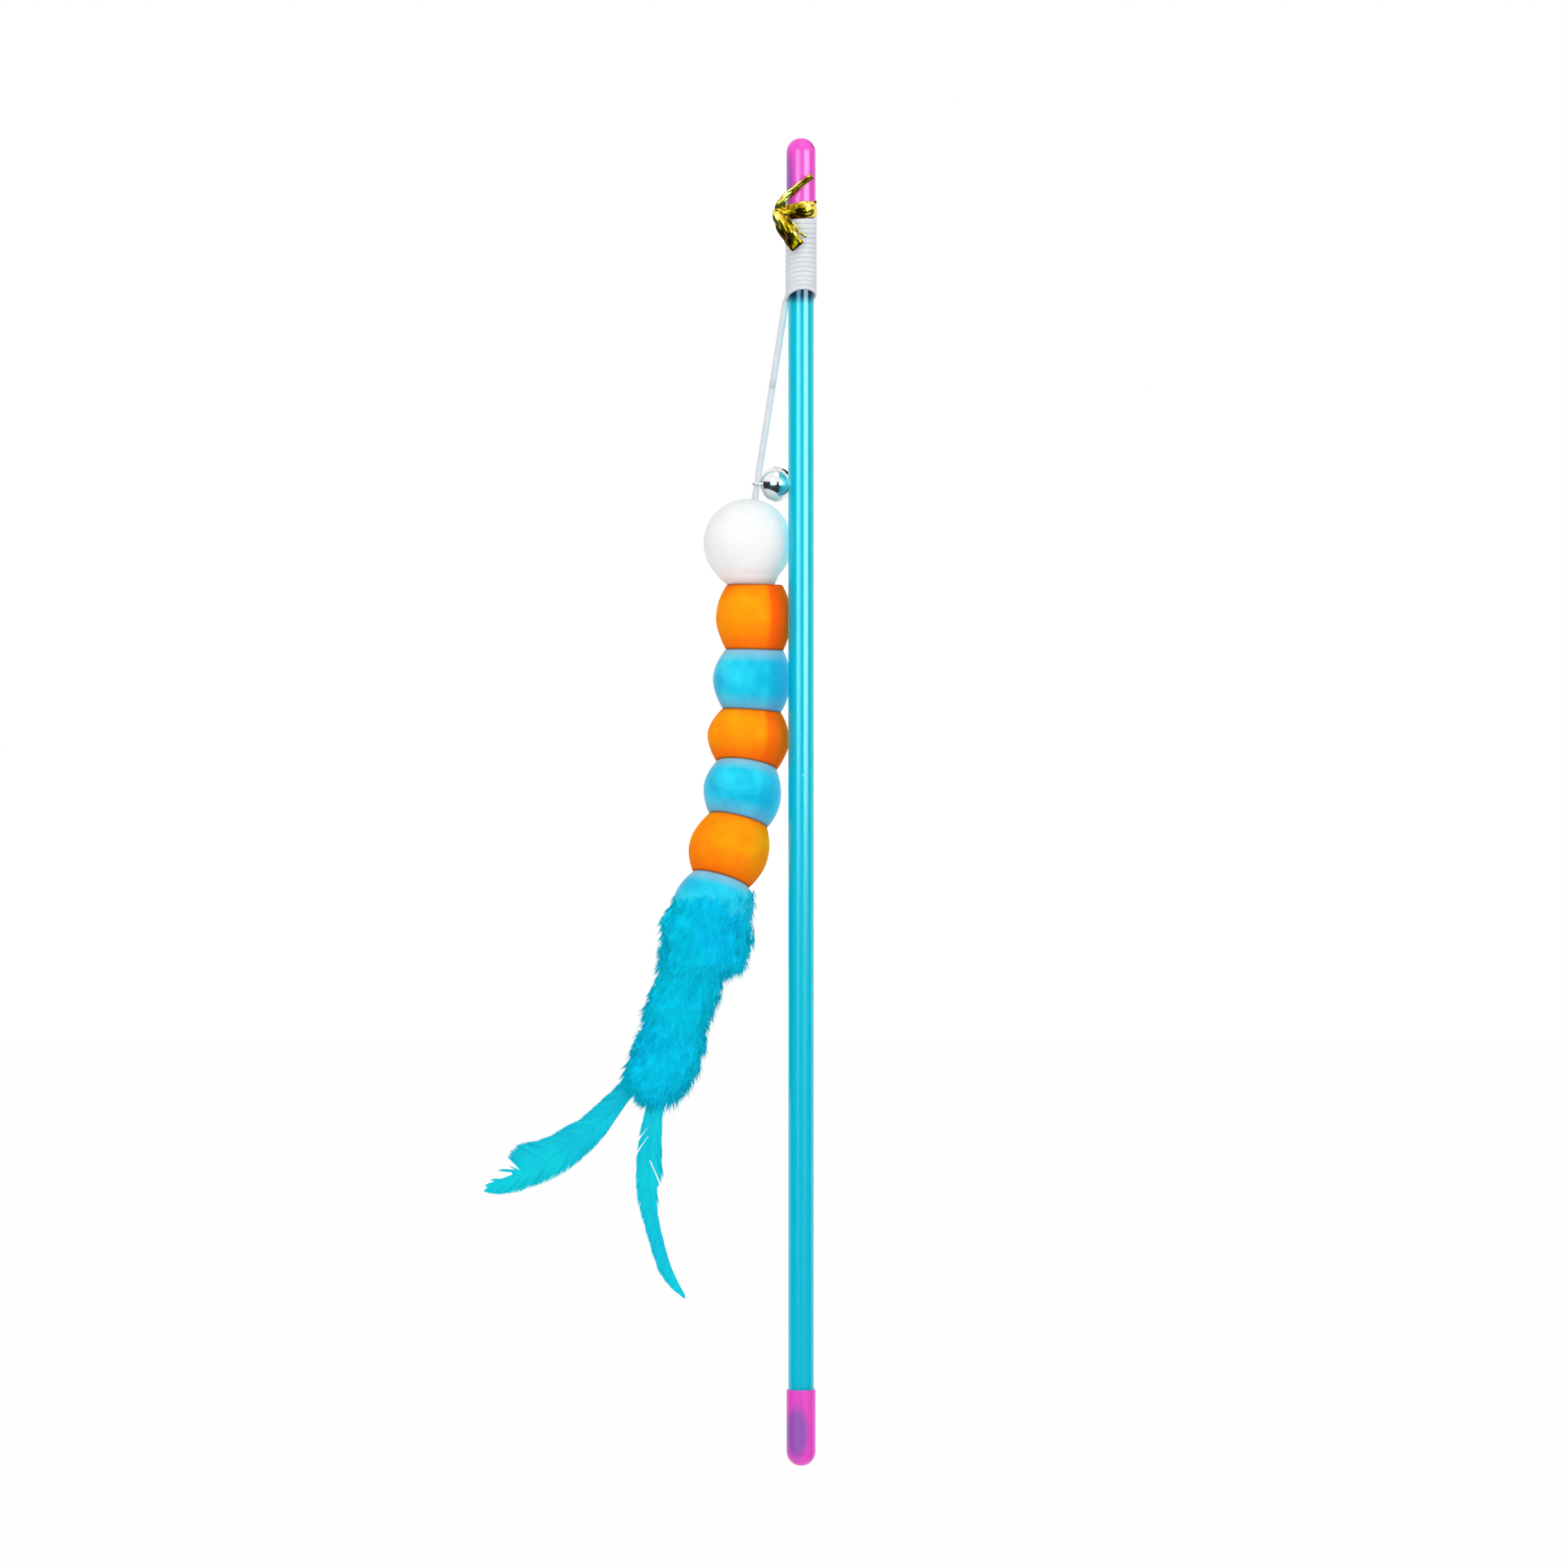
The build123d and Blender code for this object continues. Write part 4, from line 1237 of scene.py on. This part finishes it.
middle_barb = barb_reach(feathers["left_feather"], 0.5, 1, math.radians(48))
print("a barb from the left feather's middle is", round(middle_barb[0], 2), "mm long")

# %% [markdown]
# ## Barb points
# Each barb starts at a point on the quill. The point carries what the barb needs: how it
# is turned, how long it is and which way is forwards. Seeded dice make the slants and
# lengths a little uneven, and neighbours lie a hair's breadth over each other.

# %% Barb points
barb_spacing, barb_layer = 0.2, 0.04
vane_start, vane_span = -0.15, 1.13
slant_play, length_play = 0.7, (0.98, 1.01)
wave_height, wave_step, wave_play = 0.03, 0.31, 0.015


def barb_starts(feather, dice):
    """Side, place along the quill, slant and length of every barb of a feather."""
    starts = []
    count = int(vane_span * feather["length"] / barb_spacing)
    for side in (1, -1):
        for index in range(count):
            share = vane_start + vane_span * index / count
            slant = between(feather["slants"][side], share)[0] + dice.uniform(-slant_play, slant_play)
            slant = math.radians(slant)
            reach, tip = barb_reach(feather, share, side, slant)
            if not any(low < tip < high for low, high in feather["gaps"][side]):
                starts.append((side, share, slant, reach * dice.uniform(*length_play)))
    for side, share, slant, reach in feather["strays"]:
        starts.append((side, share, math.radians(slant), reach))
    return starts


def barb_points(name, feather):
    """A mesh of points where barbs start, with the turn, the length and the way forwards of each."""
    dice = random.Random(feather["seed"])
    places, turns, reaches, forwards = [], [], [], []
    for index, (side, share, slant, reach) in enumerate(barb_starts(feather, dice)):
        place, way, above = quill_place(feather, share)
        direction = way * math.cos(slant) + above * side * math.sin(slant)
        wave = wave_height * math.sin(index * wave_step) + dice.uniform(-wave_play, wave_play)
        direction = (direction + toy_side * wave).normalized()
        normal = (toy_side - direction * toy_side.dot(direction)).normalized()
        turn = Matrix((direction, normal.cross(direction), normal)).transposed()
        places.append(tuple(place + toy_side * (barb_layer * MM * (index % 3 - 1))))
        turns.append(turn.to_euler("XYZ"))
        reaches.append(reach * MM)
        forwards.append(way)
    mesh = bpy.data.meshes.new(name + "_points")
    mesh.from_pydata(places, [], [])
    for mark, values in (("turn", turns), ("reach", reaches), ("forwards", forwards)):
        store(mesh, mark, values)
    return mesh


feather_points = {}
for name, feather in feathers.items():
    feather_points[name] = add_object(name + "_points", barb_points(name, feather))
    print(name, "barbs:", len(feather_points[name].data.vertices))


# %% [markdown]
# ## Barb tree
# One flat barb of unit length is copied to every point and stretched to its own length.
# Real barbs sweep forwards towards their tips, so each point of a barb is pushed along
# the quill, by the square of its place along the barb. The square makes a smooth bend.

# %% One barb
barb_taper, taper_power = 0.8, 2.5


def barb_mesh(steps=6, corners=4):
    """A flat tapering barb of unit length along X, with its place along it stored."""
    verts, along = [], []
    for step in range(steps):
        share = step / steps
        size = 0.5 * (1 - share**taper_power * barb_taper)
        verts += [(share, size, 0), (share, 0, size), (share, -size, 0), (share, 0, -size)]
        along += [share] * corners
    verts.append((1, 0, 0))
    along.append(1.0)
    faces = ring_faces(steps, corners)
    tip, last = steps * corners, (steps - 1) * corners
    faces += [(last + corner, last + (corner + 1) % corners, tip) for corner in range(corners)]
    faces.append((3, 2, 1, 0))
    return mesh_from("barb", verts, faces, {"along": along})


barb = add_object("barb", barb_mesh())
print("faces in a barb:", len(barb.data.polygons))


# %% Barb tree
def stored(tree, name, kind="FLOAT"):
    """A named attribute of the geometry."""
    made = add(tree, "GeometryNodeInputNamedAttribute", {"Name": name}, data_type=kind)
    return made.outputs["Attribute"]


def math_of(tree, operation, first, second):
    """Two numbers put together by a Math node."""
    return add(tree, "ShaderNodeMath", {0: first, 1: second}, operation=operation).outputs[0]


barbs, given, result, barb_ids = geometry_tree("barbs_on_quill", {
    "Barb": "Object", "Width": "Float", "Thickness": "Float", "Sweep": "Float", "Seed": "Int",
    "Finish": "Material",
})
reach = stored(barbs, "reach")
spin = add(barbs, "FunctionNodeEulerToRotation", {0: stored(barbs, "turn", "FLOAT_VECTOR")})
sides = {0: reach, 1: given["Width"], 2: given["Thickness"]}
stretch = add(barbs, "ShaderNodeCombineXYZ", sides).outputs["Vector"]
turn = spin.outputs["Rotation"]
straight = planted(barbs, given["Barb"], given["Geometry"], turn, stretch, given["Seed"])
square = math_of(barbs, "POWER", stored(barbs, "along"), 2.0)
far = math_of(barbs, "MULTIPLY", math_of(barbs, "MULTIPLY", square, reach), given["Sweep"])
push = {"Geometry": straight, "Offset": scaled(barbs, stored(barbs, "forwards", "FLOAT_VECTOR"), far)}
swept = add(barbs, "GeometryNodeSetPosition", push).outputs["Geometry"]
finished(barbs, swept, given["Finish"], result)

# %% [markdown]
# ## Feather finish
# Dyed barbs are a little glossier than down. The dye is uneven along the feather, and
# each barb has its own tint, so single barbs can be told apart.

# %% Feather finish
feather_blue, tree, shader = new_finish(
    "feather_blue", Roughness=0.7, Sheen_Weight=0.1, Sheen_Tint=(0.1, 0.8, 1.0, 1),
    Specular_IOR_Level=0.1,
)
dye = tones(tree, grain(tree, 70), (0.3, (0.0, 0.50, 0.68)), (0.7, (0.0, 0.64, 0.74)))
barb_tone = tones(tree, attribute(tree, "tint"), (0.0, (0.92, 0.93, 0.94)), (1.0, (1, 1, 1)))
paint(tree, shader, dye, barb_tone)
relief(tree, shader, grain(tree, 4000, stretch=(1, 1, 0.5)), strength=0.2, depth=0.1 * MM)
dress(feather_blue, "left_feather_root", "right_feather_root")

# %% [markdown]
# ## Grow the feathers
# The tree grows the barbs, a sweep makes the tapering quill, and both are joined to one
# piece. A feather is so thin that it is lit as a sheet: its barbs are shaded mostly by
# the normal of the feather's own plane. The quill runs on straight back into the fluff.

# %% Grow the feathers
quill_half, quill_tip, quill_sides = 0.42, 0.07, 8
barb_sizes = {"Width": 0.5 * MM, "Thickness": 0.1 * MM, "Sweep": 0.1, "Seed": 5}


def quill_mesh(name, feather, steps=48):
    """The tapering quill, from inside the fluff to the feather's tip."""
    root, way, above = quill_place(feather, 0)
    stem = [(root - way * back * MM, quill_half) for back in (6.0, 3.0, 1.0)]
    for step in range(steps + 1):
        share = step / steps
        stem.append((quill_place(feather, share)[0], quill_half * (1 - share) + quill_tip))
    points = [point for point, half in stem]
    sections = [oval(half, half, quill_sides) for point, half in stem]
    return sweep(name, points, sections, [toy_side] * len(points))


def joined(name, parts):
    """One mesh made of several."""
    work = bmesh.new()
    for part in parts:
        work.from_mesh(part)
    mesh = bpy.data.meshes.new(name)
    work.to_mesh(mesh)
    work.free()
    return mesh


def vane_normal(place, facing):
    """The feather plane's own normal, on the side that a barb is facing."""
    return toy_side if facing.dot(toy_side) > 0 else -toy_side


for name, feather in feathers.items():
    settings = {"Barb": barb, "Finish": feather_blue, **barb_sizes}
    vane = grown(name + "_barbs", feather_points[name], barbs, barb_ids, settings)
    whole = joined("plumed_" + name, [vane, quill_mesh(name + "_quill", feather)])
    whole.materials.append(feather_blue)
    for face in whole.polygons:
        face.use_smooth = True
        face.material_index = 0
    shade_softly(whole, vane_normal)
    piece = add_object("plumed_" + name, whole)
    bpy.data.objects.remove(feather_points[name])
    root, way, above = quill_place(feather, 0)
    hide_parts(name)
    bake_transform(piece)
    print(name, "faces:", len(whole.polygons))
bpy.data.objects.remove(barb)

# %% [markdown]
# ## Gold ribbon tie
# A foil ribbon with a wire in its middle is wound once round the cap's mouth, twisted
# at the left, and its two ends are bent back across the front. Each stretch is a ribbon
# swept along a smooth line, turned about that line as it goes, and crumpled with noise.
# Cloth simulation would crumple it too, but foil keeps the folds that it was given.

# %% Ribbon sweep
# One face of the ribbon: place across it, and height, with the wire's ridge in the middle
ribbon_face = [(-1.0, 0.05), (-0.5, 0.06), (-0.16, 0.1), (0.0, 0.2), (0.16, 0.1), (0.5, 0.06), (1.0, 0.05)]
ribbon_back = [(a, -0.05 if abs(a) > 0.2 else -0.08) for a, b in reversed(ribbon_face)]
ribbon_loop = ribbon_face + ribbon_back
crease_along, crease_across, crease_middle = 9.0, 1.7, 0.35


def value_along(values, share):
    """A value at a share of the way along an evenly spaced list."""
    spot = share * (len(values) - 1)
    low = min(int(spot), len(values) - 2)
    return values[low] + (values[low + 1] - values[low]) * (spot - low)


def ribbon_mesh(name, route, half_widths, rolls, crumple):
    """A thin ribbon with a wire ridge, along a smooth line through a route in millimetres."""
    points = spline_points(name, route)
    verts = []
    for index, (point, way) in enumerate(zip(points, tangents(points))):
        share = index / (len(points) - 1)
        half = value_along(half_widths, share)
        turn = Matrix.Rotation(math.radians(value_along(rolls, share)), 3, way)
        flat = way.cross(radial(point)).normalized()
        across, level = turn @ flat, turn @ flat.cross(way).normalized()
        for a, b in ribbon_loop:
            spot = Vector((share * crease_along, a * crease_across, len(route) + crumple))
            lift = b + noise.noise(spot) * crumple * (crease_middle + abs(a))
            verts.append(point + (across * a * half + level * lift) * MM)
    rings, sides = len(points), len(ribbon_loop)
    return mesh_from(name, verts, ring_faces(rings, sides) + end_faces(rings, sides))


print("points round the ribbon:", len(ribbon_loop))

# %% [markdown]
# ## Gold finish
# Foil is a metal whose small creases catch the light one by one. The same noise drives
# the colour and the bump, so the darkest tone, a painted shade, lies in the creases.

# %% Gold finish
tie_foil, tree, shader = new_finish("tie_foil", Metallic=1.0)
creases = grain(tree, 210, detail=0)
# Painted shade: the darkest gold tone lies in the creases of the noise.
gold_and_crease_shade = [(0.36, (0.14, 0.06, 0.0)), (0.5, (0.70, 0.44, 0.02)), (0.64, (0.95, 0.72, 0.13))]
paint(tree, shader, tones(tree, creases, *gold_and_crease_shade))
vary_gloss(tree, shader, grain(tree, 1500), least=0.14, most=0.34)
relief(tree, shader, creases, strength=0.35, depth=0.4 * MM)
print("gold finish:", len(tree.nodes), "nodes")

# %% [markdown]
# ## Wind the ribbon
# The band is a circle of points that tilts a little. The other stretches are routes drawn
# after the photograph: a fold across the front, the two tails and a thin loose
# end. They overlap at the twist, where the real ribbon is pinched together.

# %% Ribbon routes
band_radius, band_height = 3.62, 283.2
band_start, band_step, band_steps = 205, 15, 24
rise_right, rise_back = 0.35, 0.3
band_route = []
for index in range(band_steps + 1):
    angle = math.radians(band_start + band_step * index)
    x, y = math.cos(angle), math.sin(angle)
    band_route.append((band_radius * x, band_radius * y, band_height + rise_right * x + rise_back * y))
front_fold = [
    (1.6, -3.75, 283.7), (0.0, -3.95, 283.4), (-1.8, -3.8, 283.0), (-3.6, -3.3, 282.8),
    (-4.4, -3.0, 283.0), (-5.0, -2.8, 283.2),
]
upper_tail = [
    (-3.6, -2.0, 283.2), (-4.4, -2.6, 283.0), (-4.9, -3.0, 283.3), (-4.6, -3.6, 284.6),
    (-3.7, -4.0, 286.0), (-1.8, -4.3, 287.4), (0.3, -4.4, 289.1), (2.6, -4.2, 290.9),
]
lower_tail = [
    (-3.4, -1.8, 283.2), (-4.4, -2.5, 283.2), (-5.1, -3.0, 282.4), (-4.7, -3.6, 280.6),
    (-3.9, -4.1, 278.6), (-3.0, -4.5, 276.8), (-1.6, -4.7, 275.3), (-0.7, -4.7, 274.2),
]
thin_tail = [
    (-4.6, -3.2, 282.4), (-3.9, -3.9, 281.2), (-2.9, -4.3, 280.0), (-1.2, -4.6, 278.4),
    (0.2, -4.6, 277.1), (1.1, -4.5, 276.5),
]
print("points on the band's route:", len(band_route))

# %% Wind the ribbon
# Name, route, half widths and rolls along it in millimetres and degrees, height of its creases
stretches = [
    ("tie_band", band_route, [1.7, 1.9, 1.95, 1.7, 1.6], [0, 6, -5, 7, 0], 0.28),
    ("tie_fold", front_fold, [1.5, 1.4, 1.1, 1.0, 0.8], [4, -12, 20, 60, 100], 0.3),
    ("tie_upper", upper_tail, [1.3, 1.4, 0.9, 0.85, 0.8], [0, 60, 25, 40, 20], 0.3),
    ("tie_lower", lower_tail, [1.5, 1.7, 1.8, 1.9, 1.7], [0, -60, -20, 15, -10], 0.4),
    ("tie_thin", thin_tail, [1.2, 1.1, 0.9, 0.6, 0.3], [30, 60, 20, 70, 40], 0.2),
]
ribbon = add_object("ribbon_tie", joined("ribbon_tie", [ribbon_mesh(*stretch) for stretch in stretches]))
ribbon.data.materials.append(tie_foil)
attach(ribbon, "wand")
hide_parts("twist_tie")
print("ribbon faces:", len(ribbon.data.polygons))

# %% [markdown]
# ## World
# The world fills the shadows at a plain level. Camera, gloss and transmission rays see it
# white, so that the background, the metal and the clear plastic show white without any
# more light falling on the toy.

# %% World
world = bpy.data.worlds.new("studio")
bpy.context.scene.world = world
world.use_nodes = True
tree = world.node_tree
background = tree.nodes["Background"]
background.inputs["Color"].default_value = (1, 1, 1, 1)
fill_level = 0.76


def seen_rays(tree):
    """1 for camera, gloss and transmission rays, otherwise 0."""
    path = add(tree, "ShaderNodeLightPath").outputs
    seen = math_of(tree, "MAXIMUM", path["Is Camera Ray"], path["Is Glossy Ray"])
    return math_of(tree, "MAXIMUM", seen, path["Is Transmission Ray"])


levels = {"Value": seen_rays(tree), "To Min": fill_level, "To Max": 1.0}
tree.links.new(add(tree, "ShaderNodeMapRange", levels).outputs["Result"], background.inputs["Strength"])
print("world fills at", fill_level)


# %% [markdown]
# ## Soft boxes
# Two tall soft boxes stand at the right and left of the camera, and one hangs above. The
# key box at the right is hidden from gloss: the cards below make the bright lines on the
# tube, and its own image would only wash them out.

# %% Soft boxes
def stand(azimuth, elevation, distance):
    """A place round the wand and the turn that faces it; azimuth 0 is the camera's side."""
    a, e = math.radians(azimuth), math.radians(elevation)
    back = Vector((math.sin(a) * math.cos(e), -math.cos(a) * math.cos(e), math.sin(e)))
    return view_middle + back * distance, back.to_track_quat("Z", "Y")


def soft_box(name, azimuth, elevation, width, height, brightness, distance=1.1):
    """An area light that faces the wand's middle."""
    data = bpy.data.lights.new(name, "AREA")
    data.shape = "RECTANGLE"
    data.size, data.size_y = width, height
    data.energy = brightness * math.pi * width * height
    light = add_object(name, data)
    light.location, turn = stand(azimuth, elevation, distance)
    light.rotation_euler = turn.to_euler()
    print(name, "gives", round(data.energy, 2), "W")
    return light


key_box = soft_box("key_box", azimuth=34, elevation=12, width=0.34, height=1.1, brightness=2.2)
key_box.visible_glossy = False
soft_box("fill_box", azimuth=-29, elevation=10, width=0.20, height=1.1, brightness=4.4)
soft_box("top_box", azimuth=10, elevation=68, width=0.5, height=0.5, brightness=2.0)

# %% [markdown]
# ## Floor
# The floor is pale paint. Camera, gloss and transmission rays see it nearly white, by a
# glow that is mixed in for them alone, and what is left of the paint keeps the shadow.

# %% Floor
floor_height, floor_half, floor_glow = -45 * MM, 3, 0.97
square_corners = ((-1, -1), (1, -1), (1, 1), (-1, 1))
floor_finish, tree, shader = new_finish("floor_paint", Roughness=0.9, Base_Color=(0.9, 0.9, 0.9, 1))
floor_finish.cycles.emission_sampling = "NONE"
glow = add(tree, "ShaderNodeEmission", {"Color": (1, 1, 1, 1), "Strength": 1.0}).outputs[0]
glow_share = math_of(tree, "MULTIPLY", seen_rays(tree), floor_glow)
pale = add(tree, "ShaderNodeMixShader", {0: glow_share, 1: shader.outputs[0], 2: glow}).outputs[0]
tree.links.new(pale, tree.nodes["Material Output"].inputs["Surface"])
floor_corners = [(x * floor_half, y * floor_half, floor_height) for x, y in square_corners]
floor = add_object("floor", mesh_from("floor", floor_corners, [(0, 1, 2, 3)]))
floor.data.materials.append(floor_finish)
print("floor at", floor_height, "m")


# %% [markdown]
# ## Cards
# Shiny things are lit by what they mirror. Two pale strips give the tube its bright lines,
# a dark felt arc in front keeps the plastic deep between them, and its apron along the
# floor does the same for the tube's lower part. Two small felts give the bell its dark
# patches. Only gloss sees the cards, so they change no other light.

# %% Card makers
card_blind_to = ("camera", "diffuse", "transmission", "shadow", "volume_scatter")


def stage_card(name, verts, faces, colour, glow=0.0):
    """A card that only gloss sees: dark felt, or a pale one that glows."""
    finish, tree, shader = new_finish(
        name, Roughness=1.0, Base_Color=(*colour, 1), Emission_Color=(*colour, 1), Emission_Strength=glow,
    )
    card = add_object(name, mesh_from(name, verts, faces))
    card.data.materials.append(finish)
    for ray in card_blind_to:
        setattr(card, "visible_" + ray, False)
    print(name, "glows at", glow)
    return card


def flat_card(name, azimuth, elevation, distance, width, height, colour, glow=0.0):
    """A flat card that faces the wand's middle."""
    middle, turn = stand(azimuth, elevation, distance)
    corners = [turn @ Vector((x * width / 2, y * height / 2, 0)) for x, y in square_corners]
    return stage_card(name, [middle + corner for corner in corners], [(0, 1, 2, 3)], colour, glow)


def front_flag(name, radius, apron, half_turn, low, high, colour, steps=24):
    """An arc round the camera's side, from an apron along the floor up to its upper edge."""
    verts, faces = [], []
    for step in range(steps + 1):
        a = math.radians(half_turn * (2 * step / steps - 1))
        way = Vector((math.sin(a), -math.cos(a), 0))
        foot = view_middle + way * radius
        verts += [view_middle + way * apron + upward * low, foot + upward * low, foot + upward * high]
    for step in range(steps):
        for corner in (3 * step, 3 * step + 1):
            faces.append((corner, corner + 3, corner + 4, corner + 1))
    return stage_card(name, verts, faces, colour)


print("cards are not seen by", ", ".join(card_blind_to), "rays")

# %% Cards
felt, arc_felt = (0.01, 0.012, 0.015), (0.012, 0.013, 0.015)
cards = [
    flat_card("right_strip", 45, 11, 0.9, width=0.62, height=0.36, colour=(0.75, 1.0, 1.0), glow=11.0),
    flat_card("left_strip", -22, 11, 0.9, width=0.56, height=0.36, colour=(0.45, 1.0, 1.0), glow=6.5),
    flat_card("low_felt", 30, -32, 0.6, width=0.6, height=0.22, colour=felt),
    flat_card("high_felt", 145, 40, 0.6, width=0.4, height=0.3, colour=felt),
    front_flag("front_flag", 1.0, apron=0.05, half_turn=105, low=-0.19, high=0.32, colour=arc_felt),
]
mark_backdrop(floor, *cards)

# %% [markdown]
# ## Measure
# The box of the finished looks is printed beside the CAD model's box. The finished
# looks have to keep to the CAD model's box.

# %% Sizes
sizes = {"cad": [list(corner) for corner in cad_box], "visual": [list(corner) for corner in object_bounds()]}
print("sizes:", sizes)
